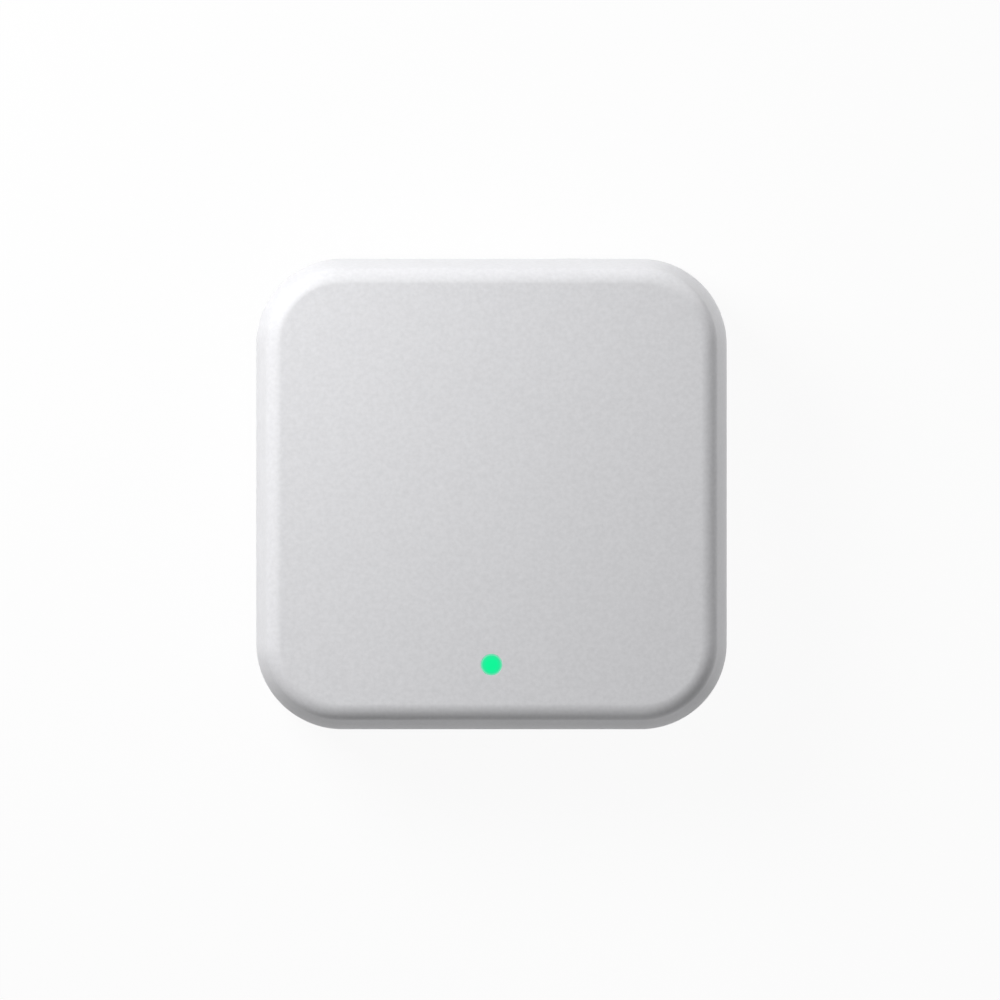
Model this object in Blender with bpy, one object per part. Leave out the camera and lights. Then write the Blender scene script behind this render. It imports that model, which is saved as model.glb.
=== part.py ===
"""Smart home hub: a two-part housing with curved shoulders, its board, power inlet, key and feet.

Units are metres and +Z is up. The hub stands on z = 0 with its centre on the Z axis.
The indicator is near the front edge (-Y), and the inlet and the key are in the rear wall (+Y).
"""

import math

import bmesh
import bpy
from mathutils import Matrix, Vector

MM = 0.001

# Housing: one shell over a base plate, nearly upright up to its curved shoulders
BODY_SIZE = 70.0 * MM
BODY_HEIGHT = 26.0 * MM
RIM_CORNER = 12.8 * MM
WALL_DRAFT = math.radians(0.5)
SHOULDER_SLOPE = math.radians(11.5)
TOP_FILLET = 2.5 * MM
WALL = 2.0 * MM
CEILING = 2.0 * MM
INNER_FILLET = 1.0 * MM
RIM_ROUND = 0.4 * MM
BASE_THICKNESS = 2.0 * MM
PLINTH_HEIGHT = 1.3 * MM
PLINTH_INSET = 1.4 * MM
PLINTH_CHAMFER = 0.4 * MM
LIP_HEIGHT = 2.6 * MM
LIP_THICKNESS = 1.2 * MM
FLOOR_RIB_HEIGHT = 1.2 * MM
CORNER_RIB_DEPTH = 12.0 * MM
RIB_THICKNESS = 1.2 * MM

# Fits
SEAM_GAP = 0.3 * MM
SEAT_GAP = 0.1 * MM
SOLDER_GAP = 0.1 * MM
LIP_CLEARANCE = 0.25 * MM
PIPE_CLEARANCE = 0.1 * MM
SCREW_CLEARANCE = 0.2 * MM
HEAD_CLEARANCE = 0.3 * MM
FOOT_CLEARANCE = 0.2 * MM
PORT_CLEARANCE = 0.3 * MM
KEY_CLEARANCE = 0.2 * MM
SLOT_CLEARANCE = 0.2 * MM
EDGE_CLEARANCE = 0.5 * MM

# Feet and case screws, on one axis at each corner
CORNER_INSET = 10.5 * MM
FOOT_DIAMETER = 10.0 * MM
FOOT_PROUD = 0.8 * MM
FOOT_RECESS = 0.5 * MM
FOOT_CHAMFER = 0.3 * MM
CASE_BOSS = 6.2 * MM
CASE_PAD = 7.6 * MM
CASE_PAD_HEIGHT = 1.9 * MM
CASE_PAD_WEB = 1.4 * MM
CASE_SHANK = 2.6 * MM
CASE_HEAD = 4.6 * MM
CASE_HEAD_HEIGHT = 1.7 * MM
CASE_SCREW_LENGTH = 10.0 * MM
PILOT_SPARE = 1.0 * MM

# Pan heads, in shares of the head's height and radius
PAN_RIM = 0.4
PAN_CROWN = math.radians(60)
DRIVE_REACH = 0.5
DRIVE_SLOT = 0.12
DRIVE_DEPTH = 0.6

# Indicator: a clear rod in a guide over the lamp
INDICATOR_INSET = 9.7 * MM
PIPE_DIAMETER = 3.0 * MM
PIPE_COLLAR = 5.2 * MM
PIPE_COLLAR_HEIGHT = 1.0 * MM
PIPE_ENTRY = 4.0 * MM
PIPE_FLARE = 1.2 * MM
PIPE_EDGE = 0.1 * MM
GUIDE_WALL = 1.4 * MM
GUIDE_LENGTH = 5.0 * MM
LED_AIR_GAP = 0.4 * MM
LED_DISH = 2.3 * MM
LED_DISH_FLOOR = 1.7 * MM
LED_DISH_DEPTH = 0.5 * MM

# Circuit board, hung under four bosses of the shell
BOARD_THICKNESS = 1.6 * MM
BOARD_CLEARANCE_BELOW = 5.2 * MM
BOARD_CORNER = 1.5 * MM
BOARD_FRONT_MARGIN = 3.2 * MM
BOARD_HOLE_INSET = 3.2 * MM
BOARD_REAR_HOLE_INSET = 18.0 * MM
BOARD_BOSS = 5.0 * MM
BOARD_SHANK = 2.0 * MM
BOARD_HEAD = 3.8 * MM
BOARD_HEAD_HEIGHT = 1.5 * MM
BOARD_SCREW_LENGTH = 6.0 * MM

# Power inlet, a standard USB-C receptacle
USB_WIDTH = 8.94 * MM
USB_HEIGHT = 3.26 * MM
USB_LENGTH = 7.3 * MM
USB_WALL = 0.3 * MM
USB_SETBACK = 0.2 * MM
PORT_RELIEF = 0.6 * MM
PORT_MARGIN = 0.9 * MM
TONGUE_WIDTH = 6.69 * MM
TONGUE_THICKNESS = 0.7 * MM
TONGUE_NOSE = 0.17 * MM
TONGUE_SETBACK = 0.9 * MM
TONGUE_BLOCK = 2.0 * MM
TONGUE_CLEARANCE = 0.1 * MM
LEG_THICKNESS = 0.25 * MM
LEG_WIDTH = 1.1 * MM
LEG_SETBACKS = (3.2 * MM, 6.4 * MM)
LEG_BELOW_BOARD = 0.5 * MM

# Reset key and the switch behind it
KEY_OFFSET = 11.5 * MM
KEY_DIAMETER = 4.0 * MM
KEY_PROUD = 0.05 * MM
KEY_EDGE = 0.3 * MM
KEY_FLANGE_LEDGE = 0.9 * MM
KEY_FLANGE_THICKNESS = 0.8 * MM
KEY_TAIL = 2.4 * MM
KEY_TAIL_LENGTH = 0.4 * MM
KEY_TRAVEL = 0.3 * MM
KEY_TO_STEM = 0.1 * MM
STEM_DIAMETER = 1.6 * MM
STEM_EDGE = 0.2 * MM
STEM_REACH = 0.8 * MM
STEM_INSIDE = 1.3 * MM
SWITCH_WIDTH = 6.0 * MM
SWITCH_DEPTH = 3.5 * MM
SWITCH_HEIGHT = 3.4 * MM
SWITCH_EDGE = 0.2 * MM

# Parts on the board: length along X, width along Y, height
STATUS_LED = (3.5 * MM, 2.8 * MM, 1.9 * MM)
RADIO_MODULE = (16.6 * MM, 13.2 * MM, 0.8 * MM)
HUB_RADIO_CHIP = (5.0 * MM, 5.0 * MM, 0.9 * MM)
RADIO_CRYSTAL = (3.2 * MM, 2.5 * MM, 0.8 * MM)
CHIP_ANTENNA = (1.6 * MM, 3.2 * MM, 1.2 * MM)
FLASH_CHIP = (4.9 * MM, 3.9 * MM, 1.6 * MM)
BUCK_CONVERTER = (2.9 * MM, 1.6 * MM, 1.1 * MM)
INLET_FUSE = (3.2 * MM, 4.5 * MM, 1.2 * MM)
SURGE_DIODE = (2.6 * MM, 4.3 * MM, 2.1 * MM)
POWER_INDUCTOR = (4.0 * MM, 4.0 * MM, 2.0 * MM)
OUTPUT_CAPACITOR = (3.5 * MM, 2.8 * MM, 1.9 * MM)
BYPASS_CAPACITOR = (0.8 * MM, 1.6 * MM, 0.8 * MM)
BOARD_RESISTOR = (1.6 * MM, 0.8 * MM, 0.45 * MM)
CHIP_EDGE = 0.1 * MM
SMALL_EDGE = 0.05 * MM
INDUCTOR_EDGE = 0.3 * MM

# Gull-wing leads of the two leaded chips
FLASH_SPAN = 6.0 * MM
FLASH_PITCH = 1.27 * MM
FLASH_PINS_A_SIDE = 4
CONVERTER_SPAN = 2.8 * MM
CONVERTER_PITCH = 0.95 * MM
CONVERTER_PINS_A_SIDE = 3
LEAD_THICKNESS = 0.2 * MM
LEAD_WIDTH = 0.4 * MM
LEADED_STAND_OFF = 0.15 * MM
LEADED_EDGE = 0.15 * MM

# Radio module's shield can and the bulk capacitor
MODULE_AERIAL_END = 5.2 * MM
SHIELD_MARGIN = 0.5 * MM
SHIELD_HEIGHT = 1.7 * MM
SHIELD_SHEET = 0.2 * MM
SHIELD_BEND = 0.3 * MM
BULK_FOOT = 6.6 * MM
BULK_FOOT_HEIGHT = 1.2 * MM
BULK_FOOT_CORNER = 0.8 * MM
BULK_CAN = 6.3 * MM
BULK_HEIGHT = 5.4 * MM
BULK_CRIMP_Z = 1.6 * MM
BULK_CRIMP_HEIGHT = 0.7 * MM
BULK_CRIMP_DEPTH = 0.25 * MM
BULK_EDGE = 0.2 * MM

# Layout of the board, from its edges and from one part to the next
RADIO_Y = -3.0 * MM
CHIP_COLUMN_INSET = 8.5 * MM
ANTENNA_INSET = 1.6 * MM
CRYSTAL_STEP = 5.5 * MM
FLASH_STEP = 6.7 * MM
BYPASS_STEP_X = 4.2 * MM
BYPASS_STEP_Y = 1.5 * MM
INLET_ROW_INSET = 4.0 * MM
POWER_ROW_INSET = 9.8 * MM
BULK_ROW_INSET = 11.5 * MM
FUSE_X = -13.0 * MM
DIODE_X = -8.5 * MM
BULK_X = -9.0 * MM
INDUCTOR_X = 5.5 * MM
OUTPUT_X = 10.5 * MM
INLET_RESISTOR_X = 3.0 * MM
INLET_RESISTOR_STEP = 1.2 * MM
LAMP_RESISTOR_X = 4.0 * MM

# Levels, from the table up
BASE_Z = FOOT_PROUD
FLOOR_Z = BASE_Z + BASE_THICKNESS
PLINTH_TOP = BASE_Z + PLINTH_HEIGHT
RIM_Z = PLINTH_TOP + SEAM_GAP
EDGE_Z = RIM_Z + RIM_ROUND
LIP_TOP = RIM_Z + LIP_HEIGHT
CEILING_Z = BODY_HEIGHT - CEILING
ANCHOR_Z = BODY_HEIGHT - CEILING / 2
CASE_PAD_TOP = FLOOR_Z + CASE_PAD_HEIGHT
CASE_SEAT = CASE_PAD_TOP - CASE_PAD_WEB
BOARD_Z = FLOOR_Z + BOARD_CLEARANCE_BELOW
BOARD_TOP = BOARD_Z + BOARD_THICKNESS
GUIDE_END = CEILING_Z - GUIDE_LENGTH
INLET_Z = BOARD_TOP + SOLDER_GAP + USB_HEIGHT / 2
BEND_LOW = INLET_Z + USB_HEIGHT / 2 + PORT_CLEARANCE + PORT_MARGIN
BEND_HIGH = BODY_HEIGHT - 2 * TOP_FILLET

# Places in plan
HALF = BODY_SIZE / 2
CORNER = HALF - CORNER_INSET
CORNERS = [(x * CORNER, y * CORNER) for y in (-1, 1) for x in (-1, 1)]
INDICATOR_Y = INDICATOR_INSET - HALF


def wall_inset(z):
    """How far the outer wall stands in from the widest outline at a height."""
    inset = (z - EDGE_Z) * math.tan(WALL_DRAFT)
    turn = math.tan(SHOULDER_SLOPE) - math.tan(WALL_DRAFT)
    if z > BEND_HIGH:
        inset += (z - (BEND_LOW + BEND_HIGH) / 2) * turn
    elif z > BEND_LOW:
        inset += (z - BEND_LOW) ** 2 / (BEND_HIGH - BEND_LOW) / 2 * turn
    return inset


BOARD_HALF = CORNER - CASE_BOSS / 2 - EDGE_CLEARANCE
BOARD_FRONT = INDICATOR_Y - BOARD_FRONT_MARGIN
BOARD_REAR = HALF - WALL - wall_inset(BOARD_TOP) - EDGE_CLEARANCE
BOARD_HOLE_X = BOARD_HALF - BOARD_HOLE_INSET
BOARD_HOLE_ROWS = (BOARD_FRONT + BOARD_HOLE_INSET, BOARD_REAR - BOARD_REAR_HOLE_INSET)
BOARD_HOLES = [(x * BOARD_HOLE_X, y) for y in BOARD_HOLE_ROWS for x in (-1, 1)]
CHIP_COLUMN = BOARD_HALF - CHIP_COLUMN_INSET
INLET_ROW = BOARD_REAR - INLET_ROW_INSET
POWER_ROW = BOARD_REAR - POWER_ROW_INSET
REAR_FACE = HALF - wall_inset(INLET_Z)
INLET_MOUTH = REAR_FACE - PORT_RELIEF - USB_SETBACK
LEG_X = USB_WIDTH / 2 - USB_WALL / 2
LEGS = [(side * LEG_X, INLET_MOUTH - setback) for setback in LEG_SETBACKS for side in (-1, 1)]

# The key's sections, measured inwards from the rear face
KEY_FLANGE = KEY_DIAMETER / 2 + KEY_FLANGE_LEDGE
KEY_FLANGE_FRONT = WALL + SEAM_GAP + KEY_FLANGE * math.tan(WALL_DRAFT)
KEY_FLANGE_BACK = KEY_FLANGE_FRONT + KEY_FLANGE_THICKNESS
KEY_END = KEY_FLANGE_BACK + KEY_TAIL_LENGTH
STEM_TIP = KEY_END + KEY_TO_STEM
SWITCH_FACE = STEM_TIP + STEM_REACH

# Local +Z turned to point out of the rear wall
OUT_OF_REAR = Matrix.Rotation(math.radians(-90), 4, "X")
KEY_AXIS = (KEY_OFFSET, REAR_FACE, INLET_Z)

# Facets: steps in a quarter turn of the housing and of a round end
HOUSING_STEPS = 10
ROUND_END_STEPS = 5
SMALLEST_STEP = 1e-7


def outline(half_x, half_y, radius, steps):
    """Points of a rounded rectangle, anticlockwise. A radius of half_y gives round ends."""
    points = []
    for quarter, (side_x, side_y) in enumerate(((1, 1), (-1, 1), (-1, -1), (1, -1))):
        for step in range(steps + 1):
            angle = math.pi / 2 * (quarter + step / steps)
            x = side_x * (half_x - radius) + radius * math.cos(angle)
            y = side_y * (half_y - radius) + radius * math.sin(angle)
            if not points or math.dist(points[-1], (x, y)) > SMALLEST_STEP:
                points.append((x, y))
    if math.dist(points[0], points[-1]) < SMALLEST_STEP:
        points.pop()
    return points


def add_loft(bm, loops, matrix=Matrix(), ring=False):
    """Skin a row of equal loops of points. The ends are closed, or meet in a ring."""
    rows = [[bm.verts.new(matrix @ Vector(point)) for point in loop] for loop in loops]
    ahead = rows[1:] + rows[:1] if ring else rows[1:]
    for low, high in zip(rows, ahead):
        for i in range(len(low)):
            bm.faces.new((low[i - 1], low[i], high[i], high[i - 1]))
    if not ring:
        bm.faces.new(rows[0])
        bm.faces.new(rows[-1])


def add_moulding(bm, half_x, half_y, radius, profile, matrix=Matrix(), steps=3, ring=False):
    """Sweep a profile of (inset, height) points round a rounded rectangle."""
    loops = []
    for inset, z in profile:
        points = outline(half_x - inset, half_y - inset, radius - inset, steps)
        loops.append([(x, y, z) for x, y in points])
    add_loft(bm, loops, matrix, ring)


def add_turned(bm, profile, matrix=Matrix(), sides=24):
    """Turn a profile of (radius, height) points about Z."""
    loops = []
    for radius, z in profile:
        angles = [2 * math.pi * i / sides for i in range(sides)]
        loops.append([(radius * math.cos(a), radius * math.sin(a), z) for a in angles])
    add_loft(bm, loops, matrix)


def at(x, y, z=0.0):
    return Matrix.Translation((x, y, z))


def shade(mesh):
    """Shade the round faces smooth and keep the corners crisp."""
    mesh.shade_smooth()
    mesh.set_sharp_from_angle(angle=math.radians(35))


def mesh_object(name, bm, location=(0, 0, 0), parent=None):
    """Close a bmesh into a named object with its faces pointing out."""
    bmesh.ops.recalc_face_normals(bm, faces=bm.faces)
    mesh = bpy.data.meshes.new(name)
    bm.to_mesh(mesh)
    bm.free()
    shade(mesh)
    obj = bpy.data.objects.new(name, mesh)
    bpy.context.scene.collection.objects.link(obj)
    obj.location = location
    obj.parent = parent
    return obj


def part(name, bm, finish, location=(0, 0, 0), parent=None):
    obj = mesh_object(name, bm, location, parent)
    obj.data.materials.append(finish)
    return obj


def shape_with(target, operation, bm):
    """Join a tool to a part, or cut it away. The tool is in the part's own coordinates."""
    tool = mesh_object(target.name + "_" + operation.lower(), bm, parent=target)
    tool.hide_render = True
    tool.display_type = "WIRE"
    modifier = target.modifiers.new(operation.title(), "BOOLEAN")
    modifier.operation = operation
    modifier.solver = "EXACT"
    modifier.object = tool


def apply_tools():
    """Make every join and cut part of its mesh, and clear the tools away."""
    bpy.context.view_layer.update()
    graph = bpy.context.evaluated_depsgraph_get()
    shaped = [obj for obj in bpy.data.objects if obj.modifiers]
    meshes = [bpy.data.meshes.new_from_object(obj.evaluated_get(graph)) for obj in shaped]
    tools = {modifier.object for obj in shaped for modifier in obj.modifiers}
    for obj, mesh in zip(shaped, meshes):
        obj.modifiers.clear()
        obj.data = mesh
        shade(mesh)
    for tool in tools:
        bpy.data.objects.remove(tool)


def finish_of(name, colour, roughness, metallic=0.0, glow=0.0):
    finish = bpy.data.materials.new(name)
    finish.use_nodes = True
    shader = finish.node_tree.nodes["Principled BSDF"]
    shader.inputs["Base Color"].default_value = (*colour, 1.0)
    shader.inputs["Roughness"].default_value = roughness
    shader.inputs["Metallic"].default_value = metallic
    shader.inputs["Emission Color"].default_value = (*colour, 1.0)
    shader.inputs["Emission Strength"].default_value = glow
    return finish


def edge_arc(base_inset, top_z, radius, steps):
    """Profile of the round edge between a leaning shoulder and a flat top, going up."""
    centre_z = top_z - radius
    tangent_z = centre_z + radius * math.sin(SHOULDER_SLOPE)
    centre_inset = base_inset + wall_inset(tangent_z) + radius * math.cos(SHOULDER_SLOPE)
    arc = []
    for step in range(steps + 1):
        angle = SHOULDER_SLOPE + (math.pi / 2 - SHOULDER_SLOPE) * step / steps
        arc.append((centre_inset - radius * math.cos(angle), centre_z + radius * math.sin(angle)))
    return arc


def shoulder_bend(base_inset, steps=5):
    """Profile of the soft bend from the upright wall to the leaning shoulder, going up."""
    heights = [BEND_LOW + (BEND_HIGH - BEND_LOW) * step / steps for step in range(steps + 1)]
    return [(base_inset + wall_inset(z), z) for z in heights]


def rim_arc(steps=3):
    """Profile of the small round under the shell's widest outline, going out and up."""
    angles = [math.pi / 2 * step / steps for step in range(steps + 1)]
    return [(RIM_ROUND * (1 - math.sin(a)), EDGE_Z - RIM_ROUND * math.cos(a)) for a in angles]


def top_cover(finish, parent):
    """The moulded shell: ceiling, walls, bosses, corner ribs and light guide."""
    inside = [*shoulder_bend(WALL), *edge_arc(WALL, CEILING_Z, INNER_FILLET, 3)][::-1]
    mouth = (WALL + wall_inset(RIM_Z), RIM_Z)
    outside = [*shoulder_bend(0.0), *edge_arc(0.0, BODY_HEIGHT, TOP_FILLET, 6)]
    profile = [*inside, mouth, *rim_arc(), *outside]
    bm = bmesh.new()
    add_moulding(bm, HALF, HALF, RIM_CORNER, profile, steps=HOUSING_STEPS)
    cover = part("top_cover", bm, finish, parent=parent)

    bosses = bmesh.new()
    case_boss_end = CASE_PAD_TOP + SEAM_GAP
    for x, y in CORNERS:
        add_turned(bosses, [(CASE_BOSS / 2, case_boss_end), (CASE_BOSS / 2, ANCHOR_Z)], at(x, y))
    board_boss_end = BOARD_TOP + SEAT_GAP
    for x, y in BOARD_HOLES:
        add_turned(bosses, [(BOARD_BOSS / 2, board_boss_end), (BOARD_BOSS / 2, ANCHOR_Z)], at(x, y))
    guide = PIPE_DIAMETER / 2 + PIPE_CLEARANCE + GUIDE_WALL
    add_turned(bosses, [(guide, GUIDE_END), (guide, ANCHOR_Z)], at(0, INDICATOR_Y))
    shape_with(cover, "UNION", bosses)

    ribs = bmesh.new()
    for quarter in range(4):
        add_corner_rib(ribs, Matrix.Rotation(math.radians(45 + 90 * quarter), 4, "Z"))
    shape_with(cover, "UNION", ribs)

    holes = bmesh.new()
    pilot = CASE_SHANK / 2 + SCREW_CLEARANCE
    pilot_end = CASE_SEAT + CASE_SCREW_LENGTH + PILOT_SPARE
    for x, y in CORNERS:
        add_turned(holes, [(pilot, RIM_Z), (pilot, pilot_end)], at(x, y), sides=16)
    pilot = BOARD_SHANK / 2 + SCREW_CLEARANCE
    pilot_end = BOARD_Z + BOARD_SCREW_LENGTH + PILOT_SPARE
    for x, y in BOARD_HOLES:
        add_turned(holes, [(pilot, BOARD_Z), (pilot, pilot_end)], at(x, y), sides=16)
    bore = PIPE_DIAMETER / 2 + PIPE_CLEARANCE
    add_turned(holes, [(bore, BOARD_TOP), (bore, BODY_HEIGHT + CEILING)], at(0, INDICATOR_Y))
    add_port(holes)
    key_hole = KEY_DIAMETER / 2 + KEY_CLEARANCE
    add_turned(holes, [(key_hole, -KEY_FLANGE_FRONT), (key_hole, WALL)], at(*KEY_AXIS) @ OUT_OF_REAR)
    shape_with(cover, "DIFFERENCE", holes)


def add_corner_rib(bm, turn):
    """A web from a case boss to the wall behind it, which leans with the wall."""
    boss = math.hypot(CORNER, CORNER)
    arc_centre = math.hypot(HALF - RIM_CORNER, HALF - RIM_CORNER)
    foot_z = CEILING_Z - CORNER_RIB_DEPTH
    top_reach, foot_reach = [
        arc_centre + RIM_CORNER - WALL / 2 - wall_inset(z) for z in (ANCHOR_Z, foot_z)
    ]
    side = [(boss, ANCHOR_Z), (top_reach, ANCHOR_Z), (foot_reach, foot_z), (boss, foot_z)]
    loops = [[(u, v, z) for u, z in side] for v in (-RIB_THICKNESS / 2, RIB_THICKNESS / 2)]
    add_loft(bm, loops, turn)


def add_port(bm):
    """The inlet's way through the rear wall, with a shallow relief for the plug's collar."""
    margin = PORT_CLEARANCE + PORT_MARGIN
    half_x = USB_WIDTH / 2 + margin
    half_y = USB_HEIGHT / 2 + margin
    profile = [(PORT_MARGIN, -2 * WALL), (PORT_MARGIN, -PORT_RELIEF), (0, -PORT_RELIEF), (0, WALL)]
    matrix = at(0, REAR_FACE, INLET_Z) @ OUT_OF_REAR
    add_moulding(bm, half_x, half_y, half_y, profile, matrix, ROUND_END_STEPS)


def bottom_cover(finish, parent):
    """The base plate: a plinth under the rim, a lip inside it, screw pads and ribs between them."""

    def lip_inset(z):
        return WALL + LIP_CLEARANCE + wall_inset(z)

    profile = [
        (PLINTH_INSET + PLINTH_CHAMFER, BASE_Z),
        (PLINTH_INSET, BASE_Z + PLINTH_CHAMFER),
        (PLINTH_INSET, PLINTH_TOP),
        (lip_inset(PLINTH_TOP), PLINTH_TOP),
        (lip_inset(LIP_TOP), LIP_TOP),
        (lip_inset(LIP_TOP) + LIP_THICKNESS, LIP_TOP),
        (lip_inset(FLOOR_Z) + LIP_THICKNESS, FLOOR_Z),
    ]
    bm = bmesh.new()
    add_moulding(bm, HALF, HALF, RIM_CORNER, profile, steps=HOUSING_STEPS)
    base = part("bottom_cover", bm, finish, parent=parent)

    pads = bmesh.new()
    root_z = FLOOR_Z - BASE_THICKNESS / 4
    for x, y in CORNERS:
        add_turned(pads, [(CASE_PAD / 2, root_z), (CASE_PAD / 2, CASE_PAD_TOP)], at(x, y))
    shape_with(base, "UNION", pads)

    counterbore = CASE_HEAD / 2 + HEAD_CLEARANCE
    ribs = bmesh.new()
    rib_half = CORNER - (CASE_PAD / 2 + counterbore) / 2
    rib = [(0, root_z), (0, FLOOR_Z + FLOOR_RIB_HEIGHT)]
    for quarter in range(4):
        turn = Matrix.Rotation(math.pi / 2 * quarter, 4, "Z")
        half_thickness = RIB_THICKNESS / 2
        add_moulding(ribs, rib_half, half_thickness, half_thickness / 2, rib, turn @ at(0, CORNER), 1)
    shape_with(base, "UNION", ribs)

    holes = bmesh.new()
    recess = FOOT_DIAMETER / 2 + FOOT_CLEARANCE
    recess_z = BASE_Z + FOOT_RECESS
    hole = CASE_SHANK / 2 + SCREW_CLEARANCE
    stepped = [
        (recess, 0.0),
        (recess, recess_z),
        (counterbore, recess_z),
        (counterbore, CASE_SEAT),
        (hole, CASE_SEAT),
        (hole, CASE_PAD_TOP + BASE_THICKNESS),
    ]
    for x, y in CORNERS:
        add_turned(holes, stepped, at(x, y))
    shape_with(base, "DIFFERENCE", holes)


def foot(name, finish, x, y, parent):
    """A round rubber foot, glued in its recess over the screw."""
    radius = FOOT_DIAMETER / 2
    top = BASE_Z + FOOT_RECESS - SEAT_GAP
    bm = bmesh.new()
    add_turned(bm, [(radius - FOOT_CHAMFER, 0), (radius, FOOT_CHAMFER), (radius, top)], sides=32)
    part(name, bm, finish, (x, y, 0), parent)


def screw(name, finish, location, shank, head, head_height, length, parent):
    """A pan-head screw with a cross drive, pointing up, with its origin under the head."""
    head_r = head / 2
    shank_r = shank / 2
    crown_height = (1 - PAN_RIM) * head_height
    profile = []
    for step in (3, 2, 1, 0):
        angle = PAN_CROWN * step / 3
        rise = crown_height * math.sin(angle) / math.sin(PAN_CROWN)
        profile.append((head_r * math.cos(angle), -PAN_RIM * head_height - rise))
    profile += [(head_r, 0), (shank_r, 0), (shank_r, length - shank_r), (shank_r / 2, length)]
    bm = bmesh.new()
    add_turned(bm, profile, sides=16)
    obj = part(name, bm, finish, location, parent)

    reach = DRIVE_REACH * head_r
    slot = DRIVE_SLOT * head_r
    cross = []
    for quarter in range(4):
        turn = Matrix.Rotation(math.pi / 2 * quarter, 2)
        cross += [tuple(turn @ Vector(p)) for p in ((reach, -slot), (reach, slot), (slot, slot))]
    depths = (-2 * head_height, (DRIVE_DEPTH - 1) * head_height)
    drive = bmesh.new()
    add_loft(drive, [[(x, y, z) for x, y in cross] for z in depths])
    shape_with(obj, "DIFFERENCE", drive)


def light_pipe(finish, parent):
    """The clear rod from the lamp to the top face, stopped by a collar under its guide."""
    entry_z = BOARD_TOP + SOLDER_GAP + STATUS_LED[2] + LED_AIR_GAP
    collar_top = GUIDE_END - SEAT_GAP
    rod = PIPE_DIAMETER / 2
    profile = [
        (PIPE_ENTRY / 2, entry_z),
        (rod, entry_z + PIPE_FLARE),
        (rod, collar_top - PIPE_COLLAR_HEIGHT),
        (PIPE_COLLAR / 2, collar_top - PIPE_COLLAR_HEIGHT),
        (PIPE_COLLAR / 2, collar_top),
        (rod, collar_top),
        (rod, BODY_HEIGHT - PIPE_EDGE),
        (rod - PIPE_EDGE, BODY_HEIGHT),
    ]
    bm = bmesh.new()
    add_turned(bm, profile)
    part("light_pipe", bm, finish, (0, INDICATOR_Y, 0), parent)


def usb_inlet(metal, core, parent):
    """The receptacle: a drawn steel tube with four legs round a moulded tongue."""
    half_x = USB_WIDTH / 2
    half_y = USB_HEIGHT / 2
    mouth = (0, INLET_MOUTH, INLET_Z)
    bm = bmesh.new()
    tube = [(USB_WALL, -USB_LENGTH), (0, -USB_LENGTH), (0, 0), (USB_WALL, 0)]
    add_moulding(bm, half_x, half_y, half_y, tube, OUT_OF_REAR, ROUND_END_STEPS, ring=True)
    shell = part("usb_shell", bm, metal, mouth, parent)
    legs = bmesh.new()
    leg = [(0, BOARD_Z - LEG_BELOW_BOARD - INLET_Z), (0, 0)]
    for x, y in LEGS:
        place = at(x, y - INLET_MOUTH)
        add_moulding(legs, LEG_THICKNESS / 2, LEG_WIDTH / 2, LEG_THICKNESS / 4, leg, place, steps=1)
    shape_with(shell, "UNION", legs)

    bm = bmesh.new()
    inset = USB_WALL + TONGUE_CLEARANCE
    block = [(inset, TONGUE_CLEARANCE - USB_LENGTH), (inset, TONGUE_BLOCK - USB_LENGTH)]
    add_moulding(bm, half_x, half_y, half_y, block, OUT_OF_REAR, ROUND_END_STEPS)
    tongue = part("usb_tongue", bm, core, mouth, parent)
    plate = bmesh.new()
    nose_z = -TONGUE_SETBACK - TONGUE_NOSE
    blade = [(0, TONGUE_BLOCK / 2 - USB_LENGTH), (0, nose_z), (TONGUE_NOSE, -TONGUE_SETBACK)]
    half_thickness = TONGUE_THICKNESS / 2
    add_moulding(plate, TONGUE_WIDTH / 2, half_thickness, half_thickness, blade, OUT_OF_REAR)
    shape_with(tongue, "UNION", plate)


def reset_key(finish, parent):
    """The key: a cap through the rear wall with a flange behind it and a tail to the switch."""
    cap = KEY_DIAMETER / 2
    profile = [
        (KEY_TAIL / 2, -KEY_END),
        (KEY_TAIL / 2, -KEY_FLANGE_BACK),
        (KEY_FLANGE, -KEY_FLANGE_BACK),
        (KEY_FLANGE, -KEY_FLANGE_FRONT),
        (cap, -KEY_FLANGE_FRONT),
        (cap, KEY_PROUD - KEY_EDGE),
        (cap - KEY_EDGE, KEY_PROUD),
    ]
    bm = bmesh.new()
    add_turned(bm, profile, OUT_OF_REAR)
    part("reset_button", bm, finish, KEY_AXIS, parent)


def reset_switch(body_finish, stem_finish, parent):
    """The side-push switch behind the key, and the stem that the key pushes into it."""
    stem = STEM_DIAMETER / 2
    stem_end = SWITCH_FACE + STEM_INSIDE
    profile = [(stem, -stem_end), (stem, -STEM_TIP - STEM_EDGE), (stem - STEM_EDGE, -STEM_TIP)]
    bm = bmesh.new()
    add_turned(bm, profile, OUT_OF_REAR, sides=16)
    part("reset_stem", bm, stem_finish, KEY_AXIS, parent)

    bm = bmesh.new()
    block = [(0, 0), (0, SWITCH_HEIGHT - SWITCH_EDGE), (SWITCH_EDGE, SWITCH_HEIGHT)]
    add_moulding(bm, SWITCH_WIDTH / 2, SWITCH_DEPTH / 2, 2 * SWITCH_EDGE, block)
    centre_y = REAR_FACE - SWITCH_FACE - SWITCH_DEPTH / 2
    seat = BOARD_TOP + SOLDER_GAP
    body = part("reset_switch", bm, body_finish, (KEY_OFFSET, centre_y, seat), parent)
    pocket = bmesh.new()
    bore = stem + KEY_CLEARANCE
    pocket_depth = STEM_INSIDE + 2 * KEY_TRAVEL
    stem_axis = at(0, SWITCH_DEPTH / 2, INLET_Z - seat) @ OUT_OF_REAR
    add_turned(pocket, [(bore, -pocket_depth), (bore, STEM_REACH)], stem_axis, sides=16)
    shape_with(body, "DIFFERENCE", pocket)


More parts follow.
